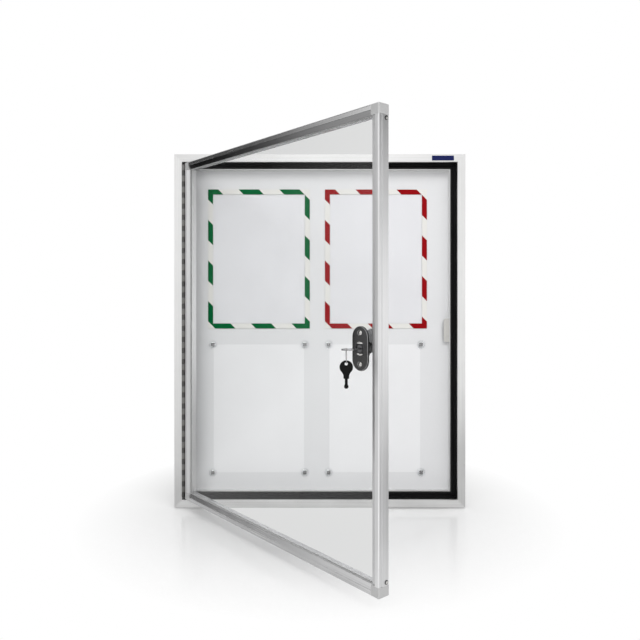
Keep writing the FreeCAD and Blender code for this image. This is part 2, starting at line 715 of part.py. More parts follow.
corner_hole = f"({size.corner_shank_diameter} + 2 * {size.screw_gap})"
corner_shank_end = f"({door_end} - {size.corner_shank_length})"
corner_screw_z = f"({door_top} - {size.corner_screw_inset})"
corner_places = [(corner_screw_depth, f"{level} * {corner_screw_z}") for level in (-1, 1)]
corner_screws = new_body("door_corner_screws", several=True)
extrude(corner_screws, "heads", "X", door_end, f"{door_end} + {size.corner_head_height}",
        circles(corner_places, size.corner_head_diameter))
extrude(corner_screws, "shanks", "X", corner_shank_end, door_end,
        circles(corner_places, size.corner_shank_diameter))
hang_on_door(corner_screws)
extrude(lock_stile, "screw_holes", "X", corner_shank_end, door_end,
        circles(corner_places, corner_hole), cut=True)
for level, place in zip((-1, 1), corner_places):
    extrude(corner_blocks[1, level], "screw_hole", "X", corner_shank_end, door_end,
            circles([place], corner_hole), cut=True)

# Glass and its gaskets

def door_sheet(label, inset, front, back):
    """A rectangular sheet in the door frame's rebate."""
    body = new_body(label)
    extrude(body, "sheet", "Y", front, back,
            rectangle(on_door_edge(-1, True, inset), on_door_edge(-1, False, inset),
                      on_door_edge(1, True, inset), on_door_edge(1, False, inset)))
    return body


glass = door_sheet("door_glass", f"{rebate_floor} + {size.glass_gap}", glass_front, glass_back)
lock_glass_hole = f"({size.barrel_lock_diameter} + 2 * {size.glass_hole_gap})"
plate_screw_places = [(lock_x, f"{level} * {size.plate_screw_z}") for level in (-1, 1)]
extrude(glass, "lock_hole", "Y", glass_front, glass_back, circle(lock_x, "0", lock_glass_hole), cut=True)
extrude(glass, "screw_holes", "Y", glass_front, glass_back,
        circles(plate_screw_places, size.plate_glass_hole), cut=True)
hang_on_door(glass)

for label, front, back, shown in (
        ("glazing_gasket_front", depth_in_door(rebate_front), glass_front, size.front_gasket_show),
        ("glazing_gasket_rear", glass_back, depth_in_door(rebate_back), size.rear_gasket_show)):
    gasket = door_sheet(label, f"{rebate_floor} + {size.gasket_gap}", front, back)
    inside = f"{size.frame_width} + {shown}"
    extrude(gasket, "window", "Y", front, back,
            rectangle(on_door_edge(-1, True, inside), on_door_edge(-1, False, inside),
                      on_door_edge(1, True, inside), on_door_edge(1, False, inside)), cut=True)
    hang_on_door(gasket)

# Piano hinge: each leaf starts as a full barrel, and windows leave it every other knuckle

hinge_length = f"({size.case_height} - 2 * {size.lip_width} - 2 * {size.hinge_end_gap})"
knuckle_pitch = f"({hinge_length} / {size.knuckle_pairs})"
knuckle_length = f"({knuckle_pitch} / 2)"
barrel_radius = f"({size.barrel_diameter} / 2)"
pin_bore = f"(({size.pin_diameter} + 2 * {size.pin_gap}) / cos(180deg / {size.bore_flats}))"
hinge_end = f"({hinge_length} / 2)"
leaf_inner = f"({barrel_radius} - {size.leaf_thickness})"


def hinge_leaf(label, side, first_window):
    """Side: -1 for the leaf on the case, 1 for the one on the door."""
    body = new_body(label)
    rolled = regular("0", "0", size.barrel_diameter, count(size.barrel_flats))
    bore = regular("0", "0", pin_bore, count(size.bore_flats))
    extrude(body, "barrel", "Z", f"-{hinge_end}", hinge_end, together([rolled, bore]))
    extrude(body, "leaf", "Z", f"-{hinge_end}", hinge_end,
            rectangle(f"{side} * {leaf_inner}", "0", f"{side} * {barrel_radius}", size.leaf_width))
    low = f"({first_window} - {hinge_end} - {size.knuckle_gap} / 2)"
    window = f"({barrel_radius} + {size.knuckle_gap})"
    cut = extrude(body, "window", "Z", low, f"{low} + {knuckle_length} + {size.knuckle_gap}",
                  rectangle(f"-{window}", f"-{window}", window, window), cut=True)
    document.recompute()
    windows = body.newObject("PartDesign::LinearPattern", f"{body.Name}_windows")
    windows.Originals = [cut]
    windows.Direction = (origin_feature(body, "Z_Axis"), [""])
    windows.setExpression("Length", f"{hinge_length} - {knuckle_pitch}")
    windows.setExpression("Occurrences", size.knuckle_pairs)
    body.Tip = windows
    return body


def stand_at_pin(part):
    """Puts a piece that was drawn from the hinge pin in its place on the case."""
    part.setExpression("Placement.Base.x", pin_x)
    part.setExpression("Placement.Base.y", pin_y)
    return part


stand_at_pin(hinge_leaf("hinge_case_leaf", -1, knuckle_length))
hang_on_door(hinge_leaf("hinge_door_leaf", 1, "0"))

pin = document.addObject("Part::Cylinder", "hinge_pin")
pin.Label = "hinge_pin"
pin.setExpression("Radius", f"{size.pin_diameter} / 2")
pin.setExpression("Height", hinge_length)
pin.setExpression("Placement.Base.z", f"-{hinge_end}")
stand_at_pin(pin)
NODES.append(pin)

# Strike: an angle on the case's right wall, with a slot in its leg for the tip of the cam

strike = new_body("strike_plate")
strike_end = f"({size.strike_height} / 2)"
leg_x = f"({wall_x} - {size.strike_thickness})"
leg_back = f"({sheet_front} - {size.strike_board_gap})"
extrude(strike, "flange", "Y", strike_front, strike_back,
        rectangle(f"{wall_x} - {size.strike_reach}", f"-{strike_end}", wall_x, strike_end))
flange_edge = number(f"{wall_x} - {size.strike_reach}")
flange_end = number(strike_end)
round_edges(strike, "corner_rounding", size.strike_corner,
            lambda edge: any(lies_at(edge, x=flange_edge, z=place) for place in (-flange_end, flange_end)))
extrude(strike, "leg", "X", leg_x, wall_x,
        rectangle(strike_front, f"-{strike_end}", leg_back, strike_end))
cam_path_front = f"({cam_front_in_case} - {size.cam_gap} / 2)"
cam_path_back = f"({cam_front_in_case} + {size.cam_thickness} + {size.cam_gap} / 2)"
extrude(strike, "cam_slot", "X", leg_x, wall_x,
        rectangle(cam_path_front, f"-{size.strike_slot_low}", cam_path_back, size.strike_slot_high),
        cut=True)
strike_hole = f"({size.strike_shank_diameter} + 2 * {size.screw_gap})"
strike_screw_places = [(ledge_middle, f"{level} * {size.strike_screw_z}") for level in (-1, 1)]
strike_shank_end = f"({wall_x} + {size.strike_shank_length})"
extrude(strike, "screw_holes", "X", leg_x, wall_x, circles(strike_screw_places, strike_hole), cut=True)
extrude(right_profile, "strike_holes", "X", wall_x, strike_shank_end,
        circles(strike_screw_places, strike_hole), cut=True)
strike_screws = new_body("strike_screws", several=True)
extrude(strike_screws, "heads", "X", f"{leg_x} - {size.strike_head_height}", leg_x,
        circles(strike_screw_places, size.strike_head_diameter))
extrude(strike_screws, "shanks", "X", leg_x, strike_shank_end,
        circles(strike_screw_places, size.strike_shank_diameter))

# Lock: an escutcheon in front of the glass and a clamp plate behind it, held by two screws

lock_hole = f"({size.barrel_lock_diameter} + 2 * {size.lock_hole_gap})"
plate_hole = f"({size.plate_shank_diameter} + 2 * {size.screw_gap})"
counterbore = f"({size.plate_head_diameter} + 2 * {size.plate_head_gap})"
escutcheon = new_body("lock_escutcheon")
extrude(escutcheon, "plate", "Y", plate_front, glass_front,
        upright_slot(lock_x, size.plate_width, size.plate_height))
bevel_edges(escutcheon, "front_bevel", size.plate_bevel,
            lambda edge: lies_at(edge, y=number(plate_front)))
extrude(escutcheon, "lock_hole", "Y", plate_front, glass_front, circle(lock_x, "0", lock_hole), cut=True)
extrude(escutcheon, "screw_holes", "Y", plate_front, glass_front,
        circles(plate_screw_places, plate_hole), cut=True)
extrude(escutcheon, "counterbores", "Y", plate_front, f"{plate_front} + {size.plate_head_sunk}",
        circles(plate_screw_places, counterbore), cut=True)
hang_on_door(escutcheon)

clamp = new_body("lock_clamp_plate")
extrude(clamp, "arms", "Y", glass_back, clamp_back,
        upright_slot(lock_x, size.clamp_width, size.clamp_height))
extrude(clamp, "middle", "Y", glass_back, clamp_back, circle(lock_x, "0", size.clamp_diameter))
extrude(clamp, "lock_hole", "Y", glass_back, clamp_back, circle(lock_x, "0", lock_hole), cut=True)
extrude(clamp, "screw_holes", "Y", glass_back, clamp_back,
        circles(plate_screw_places, plate_hole), cut=True)
hang_on_door(clamp)

plate_screws = new_body("escutcheon_screws", several=True)
head_seat = f"({plate_front} + {size.plate_head_sunk})"
extrude(plate_screws, "heads", "Y", f"{head_seat} - {size.plate_head_height}", head_seat,
        circles(plate_screw_places, size.plate_head_diameter))
extrude(plate_screws, "shanks", "Y", head_seat, clamp_back,
        circles(plate_screw_places, size.plate_shank_diameter))
hang_on_door(plate_screws)

lock_body = new_body("lock_body")
bezel_front = f"({plate_front} - {size.bezel_height})"
extrude(lock_body, "barrel", "Y", plate_front, lock_back, circle(lock_x, "0", size.barrel_lock_diameter))
extrude(lock_body, "bezel", "Y", bezel_front, plate_front, circle(lock_x, "0", size.bezel_diameter))
extrude(lock_body, "bore", "Y", bezel_front, lock_back,
        circle(lock_x, "0", f"({size.plug_diameter} + 2 * {size.plug_gap})"), cut=True)
hang_on_door(lock_body)

lock_nut = new_body("lock_nut")
hexagon = regular(lock_x, "0", f"({size.nut_width} / cos(30deg))", 6)
extrude(lock_nut, "hexagon", "Y", clamp_back, f"{clamp_back} + {size.nut_thickness}",
        together([hexagon, circle(lock_x, "0", lock_hole)]))
hang_on_door(lock_nut)

# Lock plug with its keyway and square tail, the hook cam on the tail and the cam's screw

plug = new_body("lock_plug")
half_tail = f"({size.tail_width} / 2)"
extrude(plug, "cylinder", "Y", plug_front, cam_front, circle(lock_x, "0", size.plug_diameter))
extrude(plug, "tail", "Y", cam_front, cam_back,
        rectangle(f"{lock_x} - {half_tail}", f"-{half_tail}", f"{lock_x} + {half_tail}", half_tail))
keyway_half = f"({size.key_width} / 2 + {size.key_gap})"
keyway_rise = f"({size.key_thickness} / 2 + {size.key_gap})"
key_end = f"({key_shoulder} + {size.key_blade})"
extrude(plug, "keyway", "Y", plug_front, f"{key_end} + {size.key_gap}",
        rectangle(f"{lock_x} - {keyway_half}", f"-{keyway_rise}", f"{lock_x} + {keyway_half}", keyway_rise),
        cut=True)
cam_screw_end = f"({cam_back} - {size.cam_screw_length})"
extrude(plug, "screw_hole", "Y", cam_screw_end, cam_back,
        circle(lock_x, "0", f"({size.cam_screw_shank} + 2 * {size.screw_gap})"), cut=True)
hang_on_door(plug)

cam = new_body("lock_cam")
cam_half = f"({size.cam_width} / 2)"
cam_outline = (
    (f"{lock_x} - {cam_half}", "0"),
    (f"{lock_x} + {cam_half}", "0"),
    (f"{lock_x} + {cam_half}", size.hook_high),
    (f"{lock_x} + {cam_half} / 2", size.cam_reach),
    (f"{lock_x} - {cam_half} / 2", size.cam_reach),
    (f"{lock_x} - {size.hook_reach}", size.hook_high),
    (f"{lock_x} - {size.hook_reach}", size.hook_low),
    (f"{lock_x} - {cam_half}", size.hook_low),
)
extrude(cam, "arm", "Y", cam_front, cam_back, polygon(cam_outline))
cam_level = number(size.hook_low) - NEAR
round_edges(cam, "corner_rounding", size.cam_corner,
            lambda edge: abs(edge.BoundBox.YLength - number(size.cam_thickness)) < NEAR
            and edge.BoundBox.ZMin > cam_level)
extrude(cam, "hub", "Y", cam_front, cam_back, circle(lock_x, "0", size.cam_hub_diameter))
socket = f"({size.tail_width} / 2 + {size.tail_gap})"
extrude(cam, "socket", "Y", cam_front, cam_back,
        rectangle(f"{lock_x} - {socket}", f"-{socket}", f"{lock_x} + {socket}", socket), cut=True)
hang_on_door(cam)

cam_screw = new_body("cam_screw")
extrude(cam_screw, "head", "Y", cam_back, f"{cam_back} + {size.cam_screw_height}",
        circle(lock_x, "0", size.cam_screw_head))
extrude(cam_screw, "shank", "Y", f"{cam_screw_end} + {size.screw_gap}", cam_back,
        circle(lock_x, "0", size.cam_screw_shank))
hang_on_door(cam_screw)

# Key: a flat key lying level in the plug, with the blade's notches on one side

key = new_body("key")
key_face = f"({size.key_thickness} / 2)"
key_right = f"({lock_x} + {size.key_width} / 2)"
key_left = f"({lock_x} - {size.key_width} / 2)"
blade_points = [(key_left, key_shoulder), (key_left, f"{key_end} - {size.key_tip}"),
                (f"{key_left} + {size.key_tip}", key_end), (f"{key_right} - {size.key_tip}", key_end),
                (key_right, f"{key_end} - {size.key_tip}")]
for index in range(count(size.key_notch_count)):
    notch_y = f"({key_end} - {size.key_tip} - ({index} + 0.75) * {size.key_notch_pitch})"
    blade_points.append((key_right, f"{notch_y} + {size.key_notch_pitch} / 2"))
    blade_points.append((f"{key_right} - {size.key_notch_depth}", notch_y))
    blade_points.append((key_right, f"{notch_y} - {size.key_notch_pitch} / 2.5"))
blade_points.append((key_right, key_shoulder))
neck_half = f"({size.key_neck_width} / 2)"
extrude(key, "blade", "Z", f"-{key_face}", key_face, polygon(blade_points))
extrude(key, "neck", "Z", f"-{key_face}", key_face,
        rectangle(f"{lock_x} - {neck_half}", bow_y, f"{lock_x} + {neck_half}", key_shoulder))
extrude(key, "bow", "Z", f"-{key_face}", key_face, circle(lock_x, bow_y, size.key_bow_diameter))
extrude(key, "ring_hole", "Z", f"-{key_face}", key_face,
        circle(lock_x, key_hole_y, size.key_hole_diameter), cut=True)
hang_on_door(key)

# Key ring: over the rim of the key's bow, in a plane that runs front to back


def hang_from_key(part, level):
    """Hangs a piece, drawn about its own middle, below the rim of the key."""
    part.setExpression("Placement.Base.x", ring_x)
    part.setExpression("Placement.Base.y", ring_y)
    part.setExpression("Placement.Base.z", level)
    return part


key_ring = new_body("key_ring")
wire_outline = key_ring.newObject("Sketcher::SketchObject", "key_ring_wire_outline")
wire_outline.AttachmentSupport = [(origin_feature(key_ring, "XY_Plane"), "")]
wire_outline.MapMode = "FlatFace"
wire_half = f"({size.wire_width} / 2)"
rectangle(f"-{wire_half}", f"{size.ring_radius} - {wire_half}",
          wire_half, f"{size.ring_radius} + {wire_half}")(wire_outline)
wire = key_ring.newObject("PartDesign::Revolution", "key_ring_wire")
wire.Profile = wire_outline
wire.ReferenceAxis = (origin_feature(key_ring, "X_Axis"), [""])
wire.Angle = 360
bevel_edges(key_ring, "wire_bevels", size.wire_bevel, lambda edge: True)
hang_from_key(key_ring, ring_z)

# Spare key: a round moulded head that hangs from the ring, and a blade let into it

head_face = f"({size.spare_head_thickness} / 2)"
blade_face = f"({size.spare_blade_thickness} / 2)"
head_radius = f"({size.spare_head_diameter} / 2)"
neck_end = f"({size.spare_neck_width} / 2)"
blade_half = f"({size.spare_blade_width} / 2)"
blade_top = f"({size.spare_blade_root} - {size.spare_neck_at})"
tip_z = f"({size.spare_tip_diameter} / 2 - {size.spare_tip_at})"
blade_box = (f"-{blade_half}", tip_z, blade_half, blade_top)
spare_head = new_body("spare_key_head")
extrude(spare_head, "disc", "Y", f"-{head_face}", head_face, circle("0", "0", size.spare_head_diameter))
extrude(spare_head, "neck", "Y", f"-{head_face}", head_face, polygon([
    (f"-{head_radius} * cos(35deg)", f"-{head_radius} * sin(35deg)"),
    (f"-{neck_end}", f"-{size.spare_neck_at}"),
    (neck_end, f"-{size.spare_neck_at}"),
    (f"{head_radius} * cos(35deg)", f"-{head_radius} * sin(35deg)")]))
extrude(spare_head, "ring_hole", "Y", f"-{head_face}", head_face,
        circle("0", size.spare_hole_at, size.spare_hole_diameter), cut=True)
extrude(spare_head, "blade_socket", "Y", f"-{blade_face}", blade_face, rectangle(*blade_box), cut=True)
hang_from_key(spare_head, spare_z)

spare_blade = new_body("spare_key_blade")
extrude(spare_blade, "shaft", "Y", f"-{blade_face}", blade_face, rectangle(*blade_box))
extrude(spare_blade, "tip", "Y", f"-{blade_face}", blade_face,
        circle("0", tip_z, size.spare_tip_diameter))
hang_from_key(spare_blade, spare_z)

# Notices: two A4 magnetic frames, two loose A4 sheets, and eight magnets at the sheets' corners


def centred(across, up, width, height):
    return rectangle(f"{across} - ({width}) / 2", f"{up} - ({height}) / 2",
                     f"{across} + ({width}) / 2", f"{up} + ({height}) / 2")


row_gap = f"((2 * {wall_z} - {size.notice_height} - {size.paper_height}) / 3)"
notice_z = f"({wall_z} - {row_gap} - {size.notice_height} / 2 - {size.notice_low})"
paper_z = f"({row_gap} + {size.paper_height} / 2 - {wall_z} - {size.paper_low})"
for side_name, notice_x, paper_x in (("left", size.notice_left_x, size.paper_left_x),
                                     ("right", size.notice_right_x, size.paper_right_x)):
    notice_front = f"({notice_back} - {size.notice_thickness})"
    border = new_body(f"notice_frame_{side_name}")
    extrude(border, "sheet", "Y", notice_front, notice_back,
            centred(notice_x, notice_z, size.notice_width, size.notice_height))
    extrude(border, "window", "Y", notice_front, notice_back,
            centred(notice_x, notice_z, f"{size.notice_width} - 2 * {size.notice_border}",
                    f"{size.notice_height} - 2 * {size.notice_border}"), cut=True)
    film = new_body(f"notice_film_{side_name}")
    extrude(film, "sheet", "Y", notice_back, film_back,
            centred(notice_x, notice_z, f"{size.notice_width} - 2 * {size.film_inset}",
                    f"{size.notice_height} - 2 * {size.film_inset}"))
    framed = new_body(f"framed_sheet_{side_name}")
    extrude(framed, "sheet", "Y", film_back, sheet_front,
            centred(notice_x, notice_z, size.paper_width, size.paper_height))
    paper = new_body(f"paper_sheet_{side_name}")
    extrude(paper, "sheet", "Y", film_back, sheet_front,
            centred(paper_x, paper_z, size.paper_width, size.paper_height))

magnet_places = []
for paper_x in (size.paper_left_x, size.paper_right_x):
    for side in (-1, 1):
        for level in (-1, 1):
            across = f"{paper_x} + {side} * ({size.paper_width} / 2 + {size.magnet_out})"
            up = f"{paper_z} + {level} * {size.paper_height} / 2"
            magnet_places.append((across, up))
magnet_front = f"({film_back} - {size.magnet_height})"
core_front = f"({film_back} - {size.magnet_core_height})"
socket_width = f"({size.magnet_core_width} + 2 * {size.magnet_core_gap})"


def squares(places, width):
    return together([centred(across, up, width, width) for across, up in places])


caps = new_body("magnet_caps", several=True)
extrude(caps, "discs", "Y", magnet_front, film_back, circles(magnet_places, size.magnet_diameter))
bevel_edges(caps, "bevels", size.magnet_bevel, lambda edge: lies_at(edge, y=number(magnet_front)))
extrude(caps, "core_sockets", "Y", f"{core_front} - {size.magnet_core_gap}", film_back,
        squares(magnet_places, socket_width), cut=True)
cores = new_body("magnet_cores", several=True)
extrude(cores, "blocks", "Y", core_front, film_back, squares(magnet_places, size.magnet_core_width))

# Check every object and every cut, then write one file for each sub-part

document.recompute()
for item in document.Objects:
    if "Invalid" in item.State or "Error" in item.State:
        raise RuntimeError(f"{item.Label} failed: {item.State}")
    if item.TypeId == "PartDesign::Pocket":
        before = item.BaseFeature.Shape.Volume
        if item.Shape.Volume > before - NEAR:
            raise RuntimeError(f"{item.Label} cuts nothing")
for node in NODES:
    if node.Shape.isNull() or not node.Shape.isValid():
        raise RuntimeError(f"{node.Label} has no valid shape")

os.makedirs("parts", exist_ok=True)
for node in NODES:
    node.Shape.exportStep(f"parts/{node.Label}.step")
print(f"{len(NODES)} sub-parts written")
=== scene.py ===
import json
import math
from collections import namedtuple

import bmesh
import bpy
from mathutils import Matrix, Vector

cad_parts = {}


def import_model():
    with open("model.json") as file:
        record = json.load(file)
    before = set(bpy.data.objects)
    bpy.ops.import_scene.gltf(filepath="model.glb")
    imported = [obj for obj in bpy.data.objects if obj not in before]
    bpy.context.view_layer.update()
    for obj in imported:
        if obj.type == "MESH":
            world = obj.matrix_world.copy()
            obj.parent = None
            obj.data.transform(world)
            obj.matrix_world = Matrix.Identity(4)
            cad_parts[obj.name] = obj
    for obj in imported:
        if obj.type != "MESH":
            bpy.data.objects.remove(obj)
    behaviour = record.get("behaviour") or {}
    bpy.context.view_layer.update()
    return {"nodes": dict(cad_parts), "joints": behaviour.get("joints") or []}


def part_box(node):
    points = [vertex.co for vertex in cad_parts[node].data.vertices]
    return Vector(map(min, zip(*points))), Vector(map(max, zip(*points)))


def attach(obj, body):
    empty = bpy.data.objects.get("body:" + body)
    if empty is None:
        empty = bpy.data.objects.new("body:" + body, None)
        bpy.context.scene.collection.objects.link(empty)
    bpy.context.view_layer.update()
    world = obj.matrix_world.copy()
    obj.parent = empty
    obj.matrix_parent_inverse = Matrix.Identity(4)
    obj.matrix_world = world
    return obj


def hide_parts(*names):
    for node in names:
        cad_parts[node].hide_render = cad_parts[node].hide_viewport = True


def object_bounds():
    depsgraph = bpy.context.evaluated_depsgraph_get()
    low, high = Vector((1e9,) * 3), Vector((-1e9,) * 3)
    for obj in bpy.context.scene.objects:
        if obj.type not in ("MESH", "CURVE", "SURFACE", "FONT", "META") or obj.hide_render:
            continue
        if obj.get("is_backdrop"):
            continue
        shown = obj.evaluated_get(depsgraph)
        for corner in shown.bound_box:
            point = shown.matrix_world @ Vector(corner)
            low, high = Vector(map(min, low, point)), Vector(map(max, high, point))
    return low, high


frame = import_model()

# Lockable notice board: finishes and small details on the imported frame, in metres

MM = 0.001
TINY = 1e-6
JOINTS = {joint["name"]: joint for joint in frame["joints"]}

# The door is drawn closed about its hinge pin, and this places it as it stands in the frame
PIN = Vector(JOINTS["door_hinge"]["pos_m"])
INTO_DOOR = Vector(JOINTS["lock_turn"]["axis"])
DOOR_TURN = -math.atan2(INTO_DOOR.x, INTO_DOOR.y)
DOOR = Matrix.Translation(PIN) @ Matrix.Rotation(DOOR_TURN, 4, "Z")
AS_DRAWN = Matrix.Identity(4)


def local_box(node, place=DOOR):
    """The lowest and highest corner of a CAD node, in the axes of the door."""
    back = place.inverted()
    points = [back @ vertex.co for vertex in frame["nodes"][node].data.vertices]
    low = Vector(min(point[axis] for point in points) for axis in range(3))
    high = Vector(max(point[axis] for point in points) for axis in range(3))
    return low, high


# Shader helpers


def add(tree, kind, inputs=None, **settings):
    """Adds a shader node. Inputs: values, or sockets to link, by socket name or index."""
    made = tree.nodes.new(kind)
    for name, value in settings.items():
        setattr(made, name, value)
    for key, value in (inputs or {}).items():
        if isinstance(value, bpy.types.NodeSocket):
            tree.links.new(value, made.inputs[key])
        else:
            made.inputs[key].default_value = value
    return made


def new_material(name, inputs):
    """A material with one Principled shader, and its node tree."""
    made = bpy.data.materials.new(name)
    made.use_nodes = True
    tree = made.node_tree
    shader = tree.nodes["Principled BSDF"]
    for key, value in inputs.items():
        shader.inputs[key].default_value = value
    return made, tree, shader


def stretched(tree, scale, turn=0.0):
    """Object coordinates in cycles per metre, turned about Z to a piece's own axes."""
    coordinates = add(tree, "ShaderNodeTexCoord").outputs["Object"]
    cycle = tuple(1 / value for value in scale)
    return add(tree, "ShaderNodeMapping", {"Vector": coordinates, "Rotation": (0, 0, turn), "Scale": cycle},
               vector_type="TEXTURE").outputs["Vector"]


def noise(tree, vector, detail):
    made = add(tree, "ShaderNodeTexNoise", {"Vector": vector, "Scale": 1.0, "Detail": detail})
    return made.outputs["Fac"]


# Nearly all values of a noise lie between these
NOISE_LOW = 0.3
NOISE_HIGH = 0.7


def span(tree, value, low, high, start=NOISE_LOW, end=NOISE_HIGH):
    """Maps a value to a range, by default the value of a noise."""
    made = add(tree, "ShaderNodeMapRange", {"Value": value, "From Min": start, "From Max": end,
                                            "To Min": low, "To Max": high})
    return made.outputs["Result"]


def arithmetic(tree, operation, first, second=0.0):
    return add(tree, "ShaderNodeMath", {0: first, 1: second}, operation=operation).outputs[0]


# Sockets of the Mix node, whose names are the same for numbers and for colours
NUMBER_A = 2
NUMBER_B = 3
COLOUR_A = 6
COLOUR_B = 7
COLOUR_OUT = 2


def choose(tree, amount, first, second):
    """One number at an amount of 0 and another at 1."""
    made = add(tree, "ShaderNodeMix", {0: amount, NUMBER_A: first, NUMBER_B: second}, data_type="FLOAT")
    return made.outputs[0]


def mix_colours(tree, amount, first, second, blend="MIX"):
    """One colour at an amount of 0 and another at 1, or their product."""
    made = add(tree, "ShaderNodeMix", {0: amount, COLOUR_A: first, COLOUR_B: second}, data_type="RGBA",
               blend_type=blend)
    return made.outputs[COLOUR_OUT]


def noise_colour(tree, value, colours):
    """A colour from the darker to the lighter of two, after a noise."""
    darker, lighter = colours
    return mix_colours(tree, span(tree, value, 0.0, 1.0), (*darker, 1), (*lighter, 1))


def relief(tree, height, strength, depth):
    made = add(tree, "ShaderNodeBump", {"Strength": strength, "Distance": depth, "Height": height})
    return made.outputs["Normal"]


def evenly(cycles):
    """The same number of cycles per metre along x, y and z."""
    return (cycles, cycles, cycles)


CLOUD = evenly(14.0)
CLOUD_DETAIL = 3.0


def textured(name, inputs, colours, scale, rough, bump, turn=0.0, detail=2.0):
    """A material with a noise in its colour, its roughness and its relief.

    Colours: the darker and the lighter. Scale: cycles per metre along x, y and z.
    Rough: lowest and highest roughness. Bump: strength, and depth in metres."""
    made, tree, shader = new_material(name, inputs)
    grain = noise(tree, stretched(tree, scale, turn), detail)
    cloud = noise(tree, stretched(tree, CLOUD, turn), CLOUD_DETAIL)
    mixed = arithmetic(tree, "MULTIPLY", arithmetic(tree, "ADD", grain, cloud), 0.5)
    tree.links.new(noise_colour(tree, mixed, colours), shader.inputs["Base Color"])
    tree.links.new(span(tree, mixed, *rough), shader.inputs["Roughness"])
    tree.links.new(relief(tree, grain, *bump), shader.inputs["Normal"])
    return made


METAL = {"Metallic": 1.0}

# Lines of brushed metal: cycles per metre along them and across, their gloss and their relief
ALONG = 5.0
ACROSS = 420.0
GRAIN_GLOSS = 0.85
GRAIN_RELIEF = (0.18, 0.05 * MM)


def spread_across(made, direction, gloss):
    """Spreads a metal's reflections along a direction of its object, as fine lines across it do."""
    tree = made.node_tree
    across = add(tree, "ShaderNodeCombineXYZ", dict(enumerate(direction)))
    turned = add(tree, "ShaderNodeVectorTransform", {0: across.outputs[0]}, vector_type="VECTOR",
                 convert_from="OBJECT", convert_to="WORLD")
    shader = tree.nodes["Principled BSDF"]
    tree.links.new(turned.outputs[0], shader.inputs["Tangent"])
    shader.inputs["Anisotropic"].default_value = gloss


def brushed(name, colours, rough, turn=0.0, upright=False, gloss=GRAIN_GLOSS):
    """Anodised extrusion: fine lines along its length, and a gloss that spreads across them."""
    scale = (ACROSS, ACROSS, ALONG) if upright else (ALONG, ACROSS, ACROSS)
    made = textured(name, METAL, colours, scale, rough, GRAIN_RELIEF, turn)
    diagonal = Vector((1, 1, 0)) if upright else Vector((0, 1, 1))
    spread_across(made, Matrix.Rotation(turn, 3, "Z") @ diagonal, gloss)
    return made


# The height of a normal where a face that looks down gets the full painted shade, and where it gets none
FACING_DOWN = (-0.3, -0.1)
# How dark the painted shade makes a face that looks down
LIP_SHADE = 0.42


def paint_shade_below(made, share):
    """Darkens a metal's colour where it faces down, a painted shade under the sunk lip over the glass."""
    tree = made.node_tree
    colour = tree.nodes["Principled BSDF"].inputs["Base Color"]
    normal = add(tree, "ShaderNodeNewGeometry").outputs["Normal"]
    upward = add(tree, "ShaderNodeSeparateXYZ", {0: normal}).outputs["Z"]
    amount = span(tree, upward, share, 1.0, *FACING_DOWN)
    shaded_colour = mix_colours(tree, 1.0, colour.links[0].from_socket, amount, blend="MULTIPLY")
    tree.links.new(shaded_colour, colour)


# Materials

CASE_SILVER = ((0.72, 0.72, 0.715), (0.86, 0.86, 0.855))
DOOR_SILVER = ((0.56, 0.56, 0.565), (0.78, 0.78, 0.785))
# The top rail's silver is a lighter copy of the door's silver: painted light on the same extrusion
TOP_LIT_SILVER = ((0.70, 0.70, 0.705), (0.90, 0.90, 0.905))
STILE_SILVER = ((0.70, 0.70, 0.705), (0.82, 0.82, 0.825))
SATIN = (0.30, 0.42)
FINE_SATIN = (0.20, 0.29)
LOCK_GLOSS = 0.3
case_level = brushed("case_brushed_level", CASE_SILVER, SATIN)
case_upright = brushed("case_brushed_upright", CASE_SILVER, SATIN, upright=True)
door_level = brushed("door_brushed_level", DOOR_SILVER, FINE_SATIN, turn=DOOR_TURN)
door_top = brushed("door_brushed_top_lit_and_shaded", TOP_LIT_SILVER, FINE_SATIN, turn=DOOR_TURN)
# Painted shade: the top rail darkens where its faces look down
paint_shade_below(door_top, LIP_SHADE)
hinge_upright = brushed("hinge_brushed_upright", STILE_SILVER, SATIN, turn=DOOR_TURN, upright=True)
lock_upright = brushed("lock_brushed_upright", STILE_SILVER, SATIN, turn=DOOR_TURN, upright=True,
                       gloss=LOCK_GLOSS)
FINE = evenly(900.0)
corner_satin = textured("corner_satin", {"Metallic": 0.25}, ((0.51, 0.51, 0.51), (0.57, 0.57, 0.57)),
                        FINE, rough=(0.40, 0.52), bump=(0.1, 0.03 * MM))
steel_plain = textured("steel_plain", METAL, ((0.40, 0.40, 0.41), (0.56, 0.56, 0.57)),
                       scale=(1500.0, 1500.0, 260.0), rough=(0.26, 0.44), bump=(0.15, 0.04 * MM))
cam_zinc = textured("cam_zinc", METAL, ((0.30, 0.30, 0.31), (0.42, 0.42, 0.43)),
                    FINE, rough=(0.36, 0.52), bump=(0.2, 0.04 * MM))
chrome_dark = textured("chrome_dark", METAL, ((0.045, 0.045, 0.047), (0.085, 0.085, 0.088)),
                       FINE, rough=(0.14, 0.26), bump=(0.08, 0.02 * MM))
